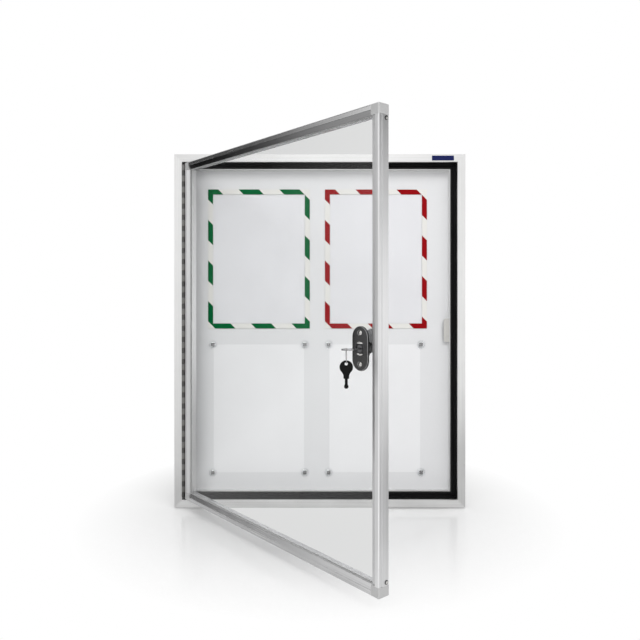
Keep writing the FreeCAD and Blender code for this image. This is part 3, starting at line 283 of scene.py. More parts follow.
# A light metal that paints the highlight on the lock plate's rounded front edge
edge_highlight_metal = textured("edge_highlight_metal", METAL, ((0.40, 0.40, 0.41), (0.62, 0.62, 0.63)),
                     FINE, rough=(0.22, 0.34), bump=(0.15, 0.02 * MM))
plug_metal = textured("plug_metal", METAL, ((0.12, 0.12, 0.125), (0.20, 0.20, 0.205)),
                      FINE, rough=(0.16, 0.28), bump=(0.08, 0.02 * MM))
key_steel = textured("key_steel", METAL, ((0.38, 0.38, 0.385), (0.54, 0.54, 0.545)),
                     FINE, rough=(0.18, 0.30), bump=(0.15, 0.02 * MM))
nickel = textured("nickel_plate", METAL, ((0.66, 0.65, 0.63), (0.80, 0.79, 0.77)),
                  evenly(400.0), rough=(0.10, 0.22), bump=(0.08, 0.02 * MM))
panel_enamel = textured("panel_enamel", {"Coat Weight": 0.15, "Coat Roughness": 0.2},
                        ((0.745, 0.747, 0.758), (0.765, 0.767, 0.778)),
                        evenly(320.0), rough=(0.32, 0.42), bump=(0.06, 0.05 * MM))
board_fibre = textured("board_fibre", {}, ((0.50, 0.47, 0.42), (0.62, 0.59, 0.54)),
                       evenly(1400.0), rough=(0.75, 0.9), bump=(0.4, 0.1 * MM), detail=5.0)
gasket_grey = textured("gasket_grey", {"Specular IOR Level": 0.3}, ((0.46, 0.46, 0.46), (0.56, 0.56, 0.56)),
                       evenly(600.0), rough=(0.45, 0.65), bump=(0.2, 0.05 * MM))
rubber = textured("seal_rubber", {"Specular IOR Level": 0.15},
                  ((0.004, 0.004, 0.0045), (0.012, 0.012, 0.0125)),
                  evenly(600.0), rough=(0.45, 0.65), bump=(0.2, 0.05 * MM))
gloss_black = textured("gloss_black", {"Coat Weight": 0.3, "Coat Roughness": 0.12},
                       ((0.013, 0.013, 0.0135), (0.026, 0.026, 0.027)),
                       evenly(700.0), rough=(0.24, 0.36), bump=(0.12, 0.03 * MM))
key_black = textured("key_black", {"Specular IOR Level": 0.07},
                     ((0.004, 0.004, 0.004), (0.010, 0.010, 0.010)),
                     evenly(1100.0), rough=(0.34, 0.5), bump=(0.25, 0.04 * MM))
strike_paint = textured("strike_paint", {}, ((0.53, 0.52, 0.50), (0.64, 0.63, 0.60)),
                        evenly(500.0), rough=(0.42, 0.55), bump=(0.15, 0.05 * MM))
label_navy = textured("label_navy", {"Specular IOR Level": 0.12},
                      ((0.006, 0.010, 0.065), (0.010, 0.016, 0.090)),
                      evenly(800.0), rough=(0.28, 0.4), bump=(0.1, 0.03 * MM))


def paper(name, colours):
    return textured(name, {"Specular IOR Level": 0.25}, colours, evenly(1300.0), rough=(0.8, 0.95),
                    bump=(0.35, 0.06 * MM), detail=6.0)


paper_white = paper("paper_white", ((0.825, 0.825, 0.837), (0.865, 0.865, 0.877)))
paper_framed = paper("paper_framed", ((0.785, 0.785, 0.797), (0.825, 0.825, 0.837)))

CLEAR_DETAIL = 4.0
CLEAR_RELIEF = (0.02, 0.02 * MM)


def see_through(name, colour, inputs, scale, rough):
    """A clear material that lets light through to what lies behind it."""
    clear = (*colour, 1)
    made, tree, shader = new_material(name, {"Base Color": clear, "Transmission Weight": 1.0, **inputs})
    grain = noise(tree, stretched(tree, scale), CLEAR_DETAIL)
    tree.links.new(span(tree, grain, *rough), shader.inputs["Roughness"])
    tree.links.new(relief(tree, grain, *CLEAR_RELIEF), shader.inputs["Normal"])
    open_way = add(tree, "ShaderNodeBsdfTransparent", {"Color": clear})
    path = add(tree, "ShaderNodeLightPath")
    passing = arithmetic(tree, "MAXIMUM", path.outputs["Is Shadow Ray"], path.outputs["Is Diffuse Ray"])
    mixed = add(tree, "ShaderNodeMixShader", {0: passing, 1: shader.outputs[0], 2: open_way.outputs[0]})
    tree.links.new(mixed.outputs[0], tree.nodes["Material Output"].inputs["Surface"])
    return made


DOME_GLOSS = {"Coat Weight": 1.0, "Coat Roughness": 0.05, "Coat IOR": 1.9}
door_clear = see_through("door_glass_clear", (0.985, 0.99, 0.988), {"IOR": 1.28}, evenly(9.0),
                         rough=(0.0, 0.01))
magnet_clear = see_through("magnet_clear", (0.95, 0.955, 0.96), {"IOR": 1.30, **DOME_GLOSS}, evenly(60.0),
                           rough=(0.02, 0.08))
film_clear = see_through("film_clear", (0.985, 0.985, 0.99), {"IOR": 1.12}, evenly(40.0),
                         rough=(0.05, 0.15))

# Notice frames: slanted stripes that run through both coordinates of the frame's face

STRIPE_PITCH = 94.3 * MM
STRIPE_START = 23.6 * MM
STRIPE_WHITE = (0.80, 0.79, 0.76)
STRIPE_COLOURS = {"left": (0.0005, 0.125, 0.036), "right": (0.31, 0.003, 0.006)}
INK_GRAIN = evenly(500.0)
INK_DETAIL = 4.0
INK_ROUGH = (0.3, 0.42)
INK_RELIEF = (0.1, 0.03 * MM)
WORN_INK = 0.82
WORN_WHITE = 0.96


def worn(colour, share):
    """A colour's darker form and the colour itself."""
    return tuple(share * value for value in colour), colour


def striped(side):
    low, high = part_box(f"notice_frame_{side}")
    made, tree, shader = new_material(f"notice_stripes_{side}", {"Specular IOR Level": 0.06})
    place = add(tree, "ShaderNodeSeparateXYZ", {0: add(tree, "ShaderNodeTexCoord").outputs["Object"]})
    slant = arithmetic(tree, "ADD", place.outputs["X"], place.outputs["Z"])
    along = arithmetic(tree, "SUBTRACT", slant, low.x + high.z - STRIPE_START)
    turned = arithmetic(tree, "FLOORED_MODULO", along, STRIPE_PITCH)
    inked = arithmetic(tree, "LESS_THAN", turned, STRIPE_PITCH / 2)
    ink = noise(tree, stretched(tree, INK_GRAIN), INK_DETAIL)
    printed = noise_colour(tree, ink, worn(STRIPE_COLOURS[side], WORN_INK))
    bare = noise_colour(tree, ink, worn(STRIPE_WHITE, WORN_WHITE))
    tree.links.new(mix_colours(tree, inked, bare, printed), shader.inputs["Base Color"])
    tree.links.new(span(tree, ink, *INK_ROUGH), shader.inputs["Roughness"])
    tree.links.new(relief(tree, ink, *INK_RELIEF), shader.inputs["Normal"])
    return made


# Finishes of the CAD nodes that stay

NODE_FINISH = {
    "case_top_profile": case_level,
    "case_bottom_profile": case_level,
    "case_left_profile": case_upright,
    "case_right_profile": case_upright,
    "case_corner_cleats": corner_satin,
    "magnetic_panel": panel_enamel,
    "backing_board": board_fibre,
    "label_plate": label_navy,
    "hinge_pin": steel_plain,
    "strike_plate": strike_paint,
    "notice_frame_left": striped("left"),
    "notice_frame_right": striped("right"),
    "notice_film_left": film_clear,
    "notice_film_right": film_clear,
    "framed_sheet_left": paper_framed,
    "framed_sheet_right": paper_framed,
    "paper_sheet_left": paper_white,
    "paper_sheet_right": paper_white,
    "magnet_cores": chrome_dark,
    "door_top_rail": door_top,
    "door_bottom_rail": door_level,
    "door_hinge_stile": hinge_upright,
    "door_lock_stile": lock_upright,
    "door_corner_bottom_hinge": corner_satin,
    "door_corner_top_hinge": corner_satin,
    "door_corner_bottom_lock": corner_satin,
    "door_corner_top_lock": corner_satin,
    "door_glass": door_clear,
    "glazing_gasket_front": gasket_grey,
    "glazing_gasket_rear": gasket_grey,
    "lock_clamp_plate": gloss_black,
    "lock_nut": chrome_dark,
    "lock_plug": plug_metal,
    "lock_cam": cam_zinc,
    "cam_screw": steel_plain,
    "key": key_steel,
    "spare_key_blade": key_black,
}
for node, finish in NODE_FINISH.items():
    item = frame["nodes"][node]
    item.data.materials.clear()
    item.data.materials.append(finish)

# Small bevels on the edges of CAD nodes, as real edges have, in millimetres

EDGE_WIDTH = {
    "case_top_profile": 0.6,
    "case_bottom_profile": 0.6,
    "case_left_profile": 0.6,
    "case_right_profile": 0.6,
    "magnetic_panel": 0.2,
    "label_plate": 0.3,
    "strike_plate": 0.35,
    "notice_frame_left": 0.2,
    "notice_frame_right": 0.2,
    "door_top_rail": 0.25,
    "door_bottom_rail": 0.25,
    "door_hinge_stile": 0.25,
    "door_lock_stile": 0.25,
    "door_corner_bottom_hinge": 0.3,
    "door_corner_top_hinge": 0.3,
    "door_corner_bottom_lock": 0.3,
    "door_corner_top_lock": 0.3,
    "lock_clamp_plate": 0.6,
    "lock_nut": 0.4,
    "lock_plug": 0.25,
    "lock_cam": 0.35,
    "key": 0.35,
    "magnet_cores": 0.5,
    "spare_key_blade": 0.5,
}
WELD_DISTANCE = 0.01 * MM
BEVEL_SEGMENTS = 2
BEVEL_ANGLE = math.radians(35)


def soften(node, width):
    """A bevel modifier on a CAD node's sharp edges. Its mesh stays as it is."""
    item = frame["nodes"][node]
    weld = item.modifiers.new("weld", "WELD")
    weld.merge_threshold = WELD_DISTANCE
    bevel = item.modifiers.new("bevel", "BEVEL")
    bevel.width = width * MM
    bevel.segments = BEVEL_SEGMENTS
    bevel.limit_method = "ANGLE"
    bevel.angle_limit = BEVEL_ANGLE
    item.modifiers.new("normals", "WEIGHTED_NORMAL")


for node, width in EDGE_WIDTH.items():
    soften(node, width)

# Mesh helpers


def join_rings(made, low, high):
    """Faces between two rings of vertices, either of which may be one point."""
    count = max(len(low), len(high))
    for index in range(count):
        after = (index + 1) % count
        corners = [low[index % len(low)], low[after % len(low)]]
        corners += [high[after % len(high)], high[index % len(high)]]
        unique = list(dict.fromkeys(corners))
        if len(unique) > 2:
            made.faces.new(unique)


def loft(rings, closed=False):
    """A mesh through rings of points. Its ends are capped, or joined to each other if closed."""
    made = bmesh.new()
    rows = [[made.verts.new(point) for point in ring] for ring in rings]
    for low, high in zip(rows, rows[1:]):
        join_rings(made, low, high)
    if closed:
        join_rings(made, rows[-1], rows[0])
    else:
        for row, flip in ((rows[0], True), (rows[-1], False)):
            if len(row) > 2:
                made.faces.new(reversed(row) if flip else row)
    bmesh.ops.recalc_face_normals(made, faces=made.faces)
    return made


def ring_of(radius, height, segments):
    if radius < TINY:
        return [(0, 0, height)]
    steps = (2 * math.pi * index / segments for index in range(segments))
    return [(radius * math.cos(step), radius * math.sin(step), height) for step in steps]


def lathe(profile, segments, closed=False):
    """Turned about the local Z axis from pairs of radius and height."""
    return loft([ring_of(radius, height, segments) for radius, height in profile], closed)


def arc(centre, radius, start, end, steps):
    """Points of an arc in degrees."""
    turns = (math.radians(start + (end - start) * index / steps) for index in range(steps + 1))
    return [(centre[0] + radius * math.cos(turn), centre[1] + radius * math.sin(turn)) for turn in turns]


def gather(parts):
    """One mesh from pairs of a mesh and its place."""
    made = bmesh.new()
    for part, place in parts:
        holder = bpy.data.meshes.new("part")
        part.to_mesh(holder)
        holder.transform(place)
        made.from_mesh(holder)
        bpy.data.meshes.remove(holder)
    return made


def carve(solid, cutter):
    """A mesh less another mesh."""
    items = []
    for part in (solid, cutter):
        holder = bpy.data.meshes.new("part")
        part.to_mesh(holder)
        item = bpy.data.objects.new("part", holder)
        bpy.context.scene.collection.objects.link(item)
        items.append(item)
    rule = items[0].modifiers.new("cut", "BOOLEAN")
    rule.operation = "DIFFERENCE"
    rule.solver = "EXACT"
    rule.object = items[1]
    bpy.context.view_layer.update()
    shown = items[0].evaluated_get(bpy.context.evaluated_depsgraph_get())
    made = bmesh.new()
    made.from_mesh(shown.to_mesh())
    for item in items:
        holder = item.data
        bpy.data.objects.remove(item)
        bpy.data.meshes.remove(holder)
    return made


SHARP = math.radians(32)


def piece(name, part, finish, body, replaced=(), place=AS_DRAWN):
    """An object from a mesh, shaded smooth up to its sharp edges, on a CAD body."""
    holder = bpy.data.meshes.new(name)
    part.transform(place)
    for face in part.faces:
        face.smooth = True
    for edge in part.edges:
        edge.smooth = len(edge.link_faces) == 2 and edge.calc_face_angle(0) < SHARP
    part.to_mesh(holder)
    holder.materials.append(finish)
    item = bpy.data.objects.new(name, holder)
    bpy.context.scene.collection.objects.link(item)
    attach(item, body)
    if replaced:
        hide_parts(*replaced)
    return item


def second_finish(item, finish, chosen):
    """A second finish on the faces whose middle and normal a test picks."""
    item.data.materials.append(finish)
    for face in item.data.polygons:
        if chosen(face.center, face.normal):
            face.material_index = 1


def facing(direction, origin):
    """A place whose local Z axis looks along a direction."""
    turn = Vector(direction).to_track_quat("Z", "Y").to_matrix().to_4x4()
    return Matrix.Translation(Vector(origin)) @ turn


def standing(x, y, z):
    """A place whose local Y axis looks up and whose local Z axis looks to the front."""
    return Matrix(((1, 0, 0, x), (0, 0, -1, y), (0, 1, 0, z), (0, 0, 0, 1)))


# Door seal: a flange against the lip and a soft bulb beside it, round the whole case, in millimetres

SEAL_CORNER = 4.0
SEAL_STEPS = 6
SEAL_FLANGE = 4.2
FLANGE_TOP = 1.3
FLANGE_EDGE = 0.4
GROOVE_DEPTH = 3.2
GROOVE_WIDTH = 0.9
BULB_RADIUS = 3.1
BULB_STEPS = 12
LEDGE_FREE = 2.0
SEAL_WELD = 0.005

# The seal's thin strip up the lip: its share of the lip's height, and how far from a corner it ends
TAIL_SHARE = 0.75
TAIL_WIDTH = 0.6
TAIL_EDGE = 0.3
TAIL_END = 1.0


def seal_profile(width, thickness, tail):
    """Pairs of distance in from the lip and depth behind the seal's front.

    Tail: the depth at which the thin strip up the lip ends."""
    bulb = (width - BULB_RADIUS, BULB_RADIUS)
    points = [(0.0, thickness), (0.0, tail + TAIL_EDGE), (TAIL_WIDTH / 2, tail)]
    points += [(TAIL_WIDTH, min(tail + TAIL_EDGE, FLANGE_TOP)), (TAIL_WIDTH, FLANGE_TOP)]
    points += [(SEAL_FLANGE - FLANGE_EDGE, FLANGE_TOP), (SEAL_FLANGE, FLANGE_TOP + FLANGE_EDGE)]
    points += [(SEAL_FLANGE, GROOVE_DEPTH), (SEAL_FLANGE + GROOVE_WIDTH, GROOVE_DEPTH)]
    points += arc(bulb, BULB_RADIUS, 180, 360, BULB_STEPS)
    points += [(width, thickness)]
    return points


def door_seal():
    low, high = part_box("door_seal")
    inner_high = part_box("case_right_profile")[0].x
    width = (high.x - inner_high) / MM - LEDGE_FREE
    thickness = (high.y - low.y) / MM
    tail = TAIL_SHARE * (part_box("case_top_profile")[0].y - low.y) / MM
    tailed = seal_profile(width, thickness, tail)
    plain = seal_profile(width, thickness, FLANGE_TOP)
    rings = []
    for corner, first in (((high.x, high.z), 0), ((low.x, high.z), 90), ((low.x, low.z), 180),
                          ((high.x, low.z), 270)):
        sign_x = 1 if corner[0] > 0 else -1
        sign_z = 1 if corner[1] > 0 else -1
        centre = (corner[0] - sign_x * SEAL_CORNER * MM, corner[1] - sign_z * SEAL_CORNER * MM)
        steps = [(step, 0, tailed if sign_x > 0 else plain) for step in range(SEAL_STEPS + 1)]
        # The strip starts and ends beside the two corners at the hinge, where the seal is plain
        if first == 90:
            steps.insert(0, (0, TAIL_END, tailed))
        if first == 180:
            steps.append((SEAL_STEPS, TAIL_END, tailed))
        for step, aside, profile in steps:
            turn = math.radians(first + 90 * step / SEAL_STEPS)
            ring = []
            for inward, depth in profile:
                reach = (SEAL_CORNER - inward) * MM
                if reach > 0:
                    across, up = reach * math.cos(turn), reach * math.sin(turn)
                else:
                    across, up = sign_x * reach, sign_z * reach
                ring.append((centre[0] + aside * MM + across, low.y + depth * MM, centre[1] + up))
            rings.append(ring)
    made = loft(rings, closed=True)
    bmesh.ops.remove_doubles(made, verts=made.verts, dist=SEAL_WELD * MM)
    piece("door_seal_bulb", made, rubber, "case", ["door_seal"])


door_seal()

# Piano hinge: leaves and round knuckles with broken edges

KNUCKLE_PAIRS = 30
KNUCKLE_GAP = 0.3 * MM
KNUCKLE_EDGE = 0.25 * MM
PIN_PLAY = 0.05 * MM
LEAF_THICKNESS = 1.2 * MM
LEAF_EDGE = 0.2 * MM
TAB_EDGE = 0.1 * MM
TAB_OVERLAP = 0.3 * MM
HINGE_SEGMENTS = 24


def knuckle(radius, bore, length):
    edge = KNUCKLE_EDGE
    half = length / 2
    return lathe([(bore, -half + edge), (bore + edge, -half), (radius - edge, -half), (radius, -half + edge),
                  (radius, half - edge), (radius - edge, half), (bore + edge, half), (bore, half - edge)],
                 HINGE_SEGMENTS, closed=True)


def block(low, high, edge):
    """A box between two corners, with its edges broken."""
    made = bmesh.new()
    bmesh.ops.create_cube(made, size=1.0)
    middle = [(a + b) / 2 for a, b in zip(low, high)]
    size = [b - a for a, b in zip(low, high)]
    made.transform(Matrix.Translation(middle) @ Matrix.Diagonal((*size, 1)))
    bmesh.ops.bevel(made, geom=made.edges[:], offset=edge, segments=2, affect="EDGES", profile=0.5)
    return made


def hinge_leaf(name, body, node, side, first, place, finish):
    """Side: -1 for the case's leaf and 1 for the door's. First: 0 or 1, the first of its own knuckles."""
    pin_low, pin_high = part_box("hinge_pin")
    bore = (pin_high.x - pin_low.x) / 2 + PIN_PLAY
    low, high = local_box(node, place)
    radius = max(-low.x, high.x)
    pitch = (high.z - low.z) / KNUCKLE_PAIRS
    own = pitch / 2 - KNUCKLE_GAP
    plate_start = radius + KNUCKLE_GAP
    near, far = sorted((side * radius, side * (radius - LEAF_THICKNESS)))
    parts = [(block((near, plate_start, low.z), (far, high.y, high.z), LEAF_EDGE), AS_DRAWN)]
    for index in range(KNUCKLE_PAIRS):
        middle = low.z + (index + 0.25 + 0.5 * first) * pitch
        parts.append((knuckle(radius, bore, own), Matrix.Translation((0, 0, middle))))
        tab = block((near, 0, middle - own / 2), (far, plate_start + TAB_OVERLAP, middle + own / 2), TAB_EDGE)
        parts.append((tab, AS_DRAWN))
    piece(name, gather(parts), finish, body, [node], place)


PIN_PLACE = Matrix.Translation(PIN)
LEAF_GRAIN = {"scale": (1200.0, 1200.0, 300.0), "rough": (0.28, 0.42), "bump": (0.15, 0.04 * MM)}
# Both hinge leaves are the steel of the pin, darkened into painted shade where the hinge lies in shadow; the
# case's leaf is the more shaded copy
leaf_shaded = textured("hinge_leaf_dark", METAL, ((0.080, 0.079, 0.076), (0.125, 0.123, 0.120)), **LEAF_GRAIN)
leaf_lit = textured("hinge_leaf_light", METAL, ((0.19, 0.187, 0.18), (0.26, 0.256, 0.25)), **LEAF_GRAIN)
hinge_leaf("hinge_leaf_on_case", "case", "hinge_case_leaf", -1, 0, PIN_PLACE, leaf_shaded)
hinge_leaf("hinge_leaf_on_door", "door", "hinge_door_leaf", 1, 1, DOOR, leaf_lit)

# Screws: a domed head with a cross recess, over a shank with a blunt point

ScrewSize = namedtuple("ScrewSize", "head height shank")
SCREW_SEGMENTS = 32
HEAD_DOME = 0.55
HEAD_EDGE = 0.1 * MM
DOME_STEPS = 6
DOME_POWER = 0.6
RECESS_SHARE = 0.6
CROSS_ARM = 0.52
CROSS_BAR = 0.085
CROSS_TAPER = (0.45, 1.3)
POINT_INSET = 0.3 * MM
POINT_LENGTH = 0.4 * MM


def cross_cutter(head, depth):
    """A cross that tapers to its bottom, to cut from the top of a head."""
    arm = CROSS_ARM * head / 2
    half = CROSS_BAR * head
    square = ((-1, -1), (1, -1), (1, 1), (-1, 1))
    parts = []
    for turn in (0, math.pi / 2):
        rings = []
        for height, share in zip((-depth, depth), CROSS_TAPER):
            rings.append([(arm * share * a, half * share * b, height) for a, b in square])
        parts.append((loft(rings), Matrix.Rotation(turn, 4, "Z")))
    return parts


def screw(head, height, shank, length):
    """A screw with its head's seat at the local origin, its head up and its shank down."""
    edge = height * (1 - HEAD_DOME)
    points = [(0, -length), (shank / 2 - POINT_INSET, -length), (shank / 2, -length + POINT_LENGTH),
              (shank / 2, 0), (head / 2 - HEAD_EDGE, 0), (head / 2, HEAD_EDGE), (head / 2, edge)]
    rise = height - edge
    for index in range(1, DOME_STEPS):
        turn = math.pi / 2 * index / DOME_STEPS
        points.append((head / 2 * math.cos(turn) ** DOME_POWER, edge + rise * math.sin(turn)))
    points.append((0, height))
    made = lathe(points, SCREW_SEGMENTS)
    for cutter, turn in cross_cutter(head, RECESS_SHARE * height):
        cutter.transform(Matrix.Translation((0, 0, height)) @ turn)
        made = carve(made, cutter)
    return made


def screws(name, node, finish, body, size, length, seats, direction, place):
    """The screws of one CAD node, each at its seat and looking out along a direction."""
    parts = [(screw(*size, length), facing(direction, seat)) for seat in seats]
    return piece(name, gather(parts), finish, body, [node], place)


def pair(x, y, reach):
    """Two places, one as far below the middle as the other is above it."""
    return [(x, y, level * reach) for level in (-1, 1)]


CORNER_SCREW = ScrewSize(head=7.0 * MM, height=1.2 * MM, shank=3.4 * MM)
CORNER_LENGTH = 8.0 * MM
# The share of the head's radius inside the painted shade ring
CORNER_RIM = 0.62
low, high = local_box("door_corner_screws")
corner_seat_x = high.x - CORNER_SCREW.height
corner_seats = pair(corner_seat_x, (low.y + high.y) / 2, high.z - CORNER_SCREW.head / 2)
corner_screws = screws("corner_screws", "door_corner_screws", nickel, "door", CORNER_SCREW,
                       CORNER_LENGTH, corner_seats, (1, 0, 0), DOOR)


def on_corner_shade_ring(point, normal):
    """The outer ring of a corner screw's head, painted black as shade round the head's edge."""
    local = DOOR.inverted() @ point
    nearest = min((local - Vector(seat)).yz.length for seat in corner_seats)
    return nearest > CORNER_RIM * CORNER_SCREW.head / 2


# Painted shade: a black ring round the edge of each corner screw's head
second_finish(corner_screws, gloss_black, on_corner_shade_ring)

# Hinge screws: countersunk flush into both leaves

SUNK_HEAD = 5.6 * MM
SUNK_SHANK = 2.9 * MM
SUNK_LENGTH = 9.0 * MM
SUNK_TIP = 0.5 * MM
SUNK_TAPER = 1.5 * MM
SUNK_RECESS = 0.9 * MM
SUNK_SEGMENTS = 24
LEAF_SCREWS = 9
PROUD = 0.05 * MM


def sunk_screw():
    """A countersunk screw with its flat top at the local origin."""
    half = SUNK_SHANK / 2
    cone = (SUNK_HEAD - SUNK_SHANK) / 2
    made = lathe([(0, -SUNK_LENGTH), (half - POINT_INSET, -SUNK_LENGTH + SUNK_TIP),
                  (half, -SUNK_LENGTH + SUNK_TAPER), (half, -cone), (SUNK_HEAD / 2, 0), (0, 0)],
                 SUNK_SEGMENTS)
    for cutter, turn in cross_cutter(SUNK_HEAD, SUNK_RECESS):
        cutter.transform(turn)
        made = carve(made, cutter)
    return made


def leaf_screws(name, body, node, side, place):
    low, high = local_box(node, place)
    radius = max(-low.x, high.x)
    face = side * (radius - LEAF_THICKNESS - PROUD)
    middle = (radius + high.y) / 2
    pitch = (high.z - low.z) / LEAF_SCREWS
    parts = []
    for index in range(LEAF_SCREWS):
        seat = (face, middle, low.z + (index + 0.5) * pitch)
        parts.append((sunk_screw(), facing((-side, 0, 0), seat)))
    piece(name, gather(parts), steel_plain, body, (), place)


leaf_screws("hinge_case_screws", "case", "hinge_case_leaf", -1, PIN_PLACE)
leaf_screws("hinge_door_screws", "door", "hinge_door_leaf", 1, DOOR)

# Screws of the escutcheon and of the strike plate

PLATE_SCREW = ScrewSize(head=8.0 * MM, height=2.2 * MM, shank=3.9 * MM)
low, high = local_box("escutcheon_screws")
plate_seat_y = low.y + PLATE_SCREW.height
plate_seats = pair((low.x + high.x) / 2, plate_seat_y, high.z - PLATE_SCREW.head / 2)
screws("lock_plate_screws", "escutcheon_screws", nickel, "door", PLATE_SCREW,
       high.y - plate_seat_y, plate_seats, (0, -1, 0), DOOR)

STRIKE_SCREW = ScrewSize(head=5.0 * MM, height=1.6 * MM, shank=2.9 * MM)
low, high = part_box("strike_screws")
strike_seat_x = low.x + STRIKE_SCREW.height
strike_seats = pair(strike_seat_x, (low.y + high.y) / 2, high.z - STRIKE_SCREW.head / 2)
screws("strike_plate_screws", "strike_screws", steel_plain, "case", STRIKE_SCREW,
       high.x - strike_seat_x, strike_seats, (-1, 0, 0), AS_DRAWN)

# Lock escutcheon: a black plate with round ends, a soft front edge and counterbored screw holes

PLATE_STEPS = 24
PLATE_EDGE = 1.6 * MM
PLATE_EDGE_STEPS = 6
PLATE_BACK_EDGE = 0.3 * MM
PLATE_BORE = 9.6 * MM
BORE_SEGMENTS = 48
SUNK_HOLE_REACH = 25.0 * MM
SUNK_HOLE_DEPTH = 2.6 * MM
SUNK_HOLE_RADIUS = 4.4 * MM
SUNK_HOLE_RIM = 5.2 * MM
SUNK_HOLE_EDGE = 0.3 * MM
SUNK_HOLE_SEGMENTS = 36
CUT_ABOVE = 0.5 * MM

# The plate's rounded front edge gets a painted highlight, a band of light metal, where it leans between these
# two angles from the front
EDGE_HIGHLIGHT_FROM = math.cos(math.radians(50))
EDGE_HIGHLIGHT_TO = math.cos(math.radians(25))


def stadium(width, height, inset):
    """Points of an upright slot outline, drawn in by an inset."""
    radius = width / 2 - inset
    rise = height / 2 - width / 2
    points = arc((0, rise), radius, 0, 180, PLATE_STEPS)
    points += arc((0, -rise), radius, 180, 360, PLATE_STEPS)
    return points


def escutcheon():
    low, high = local_box("lock_escutcheon")
    width, height = high.x - low.x, high.z - low.z
    rings = [[(x, z, 0) for x, z in stadium(width, height, PLATE_BACK_EDGE)],
             [(x, z, PLATE_BACK_EDGE) for x, z in stadium(width, height, 0)]]
    thickness = high.y - low.y
    for inset, fall in arc((PLATE_EDGE, PLATE_EDGE), PLATE_EDGE, 180, 270, PLATE_EDGE_STEPS):
        rings.append([(x, z, thickness - fall) for x, z in stadium(width, height, inset)])
    made = loft(rings)
    bore = lathe([(0, -PLATE_EDGE), (PLATE_BORE, -PLATE_EDGE), (PLATE_BORE, 2 * thickness),
                  (0, 2 * thickness)], BORE_SEGMENTS)
    made = carve(made, bore)
    bottom = thickness - SUNK_HOLE_DEPTH
    for level in (-1, 1):
        sunk = lathe([(0, bottom), (SUNK_HOLE_RADIUS, bottom), (SUNK_HOLE_RADIUS, thickness - SUNK_HOLE_EDGE),
                      (SUNK_HOLE_RIM, thickness + CUT_ABOVE), (0, thickness + CUT_ABOVE)],
                     SUNK_HOLE_SEGMENTS)
        sunk.transform(Matrix.Translation((0, level * SUNK_HOLE_REACH, 0)))
        made = carve(made, sunk)
    place = DOOR @ standing((low.x + high.x) / 2, high.y, 0)
    item = piece("lock_plate_front", made, gloss_black, "door", ["lock_escutcheon"], place)
    ahead = DOOR.to_3x3() @ Vector((0, -1, 0))

    def on_edge_highlight(point, normal):
        local = DOOR.inverted() @ point
        return EDGE_HIGHLIGHT_FROM < normal.dot(ahead) < EDGE_HIGHLIGHT_TO and local.y < low.y + PLATE_EDGE

    # Painted highlight: a light metal band round the plate's rounded front edge
    second_finish(item, edge_highlight_metal, on_edge_highlight)


escutcheon()

# Lock body: a chromed bezel with a dished front, on a threaded barrel

PLUG_PLAY = 0.05 * MM
THREAD_PITCH = 1.5 * MM
THREAD_DEPTH = 0.35 * MM
THREAD_STEPS = 6
THREAD_START = 0.6 * MM
THREAD_ENDS = 0.9 * MM
BARREL_RADIUS = 9.4 * MM
BARREL_EDGE = 0.4 * MM
BARREL_DROP = 0.1 * MM
BARREL_SEGMENTS = 48
BEZEL_ROOT = -2 * MM
BEZEL_EDGE = 0.2 * MM
BEZEL_SEGMENTS = 64
BORE_EDGE = 0.5 * MM
DISH_DEPTH = 0.7 * MM

# The bezel's front: pairs of distance in from its rim and fall from its top
BEZEL_FRONT = ((3.2 * MM, DISH_DEPTH), (2.4 * MM, 0.15 * MM), (1.6 * MM, 0.0), (0.7 * MM, 0.25 * MM))

# Painted highlights: only the top and bottom of the bezel's front get the bright nickel
BEZEL_HIGHLIGHT_FROM = 0.72
BEZEL_HIGHLIGHT_DEPTH = 0.2 * MM


def lock_body():
    low, high = local_box("lock_body")
    plug_low, plug_high = local_box("lock_plug")
    plate_low = local_box("lock_escutcheon")[0].y
    bezel = (high.x - low.x) / 2
    bore = (plug_high.x - plug_low.x) / 2 + PLUG_PLAY
    rise = plate_low - low.y
    length = high.y - plate_low
    neck = BARREL_RADIUS - BARREL_EDGE
    points = [(bore, BEZEL_ROOT), (bore, rise - BORE_EDGE), (bore + BORE_EDGE, rise - DISH_DEPTH)]
    points += [(bezel - inset, rise - fall) for inset, fall in BEZEL_FRONT]
    points += [(bezel, BEZEL_EDGE), (bezel, 0), (neck, 0), (neck, BEZEL_ROOT)]
    front = lathe(points, BEZEL_SEGMENTS, closed=True)
    rows = int(length / THREAD_PITCH * THREAD_STEPS)
    root = BARREL_RADIUS - THREAD_DEPTH
    rings = [ring_of(bore, -length, BARREL_SEGMENTS), ring_of(root - BARREL_EDGE, -length, BARREL_SEGMENTS)]
    for row in range(rows + 1):
        fall = THREAD_START + (length - THREAD_ENDS) * row / rows
        ring = []
        for index in range(BARREL_SEGMENTS):
            phase = (fall / THREAD_PITCH + index / BARREL_SEGMENTS) % 1.0
            radius = BARREL_RADIUS - THREAD_DEPTH * abs(2 * phase - 1)
            turn = 2 * math.pi * index / BARREL_SEGMENTS
            ring.append((radius * math.cos(turn), radius * math.sin(turn), fall - length))
        rings.append(ring)
    rings.append(ring_of(root, -BARREL_DROP, BARREL_SEGMENTS))
    rings.append(ring_of(bore, -BARREL_DROP, BARREL_SEGMENTS))
    thread = loft(rings, closed=True)
    turn = facing((0, -1, 0), ((low.x + high.x) / 2, plate_low, 0))
    made = gather([(front, turn), (thread, turn)])
    item = piece("lock_bezel_and_barrel", made, chrome_dark, "door", ["lock_body"], DOOR)

    def on_bezel_highlight(point, normal):
        local = DOOR.inverted() @ point
        return local.y < plate_low - BEZEL_HIGHLIGHT_DEPTH and abs(local.z) > BEZEL_HIGHLIGHT_FROM * bezel

    # Painted highlight: bright nickel on the top and bottom of the bezel's front, dark chrome elsewhere
    second_finish(item, nickel, on_bezel_highlight)


lock_body()

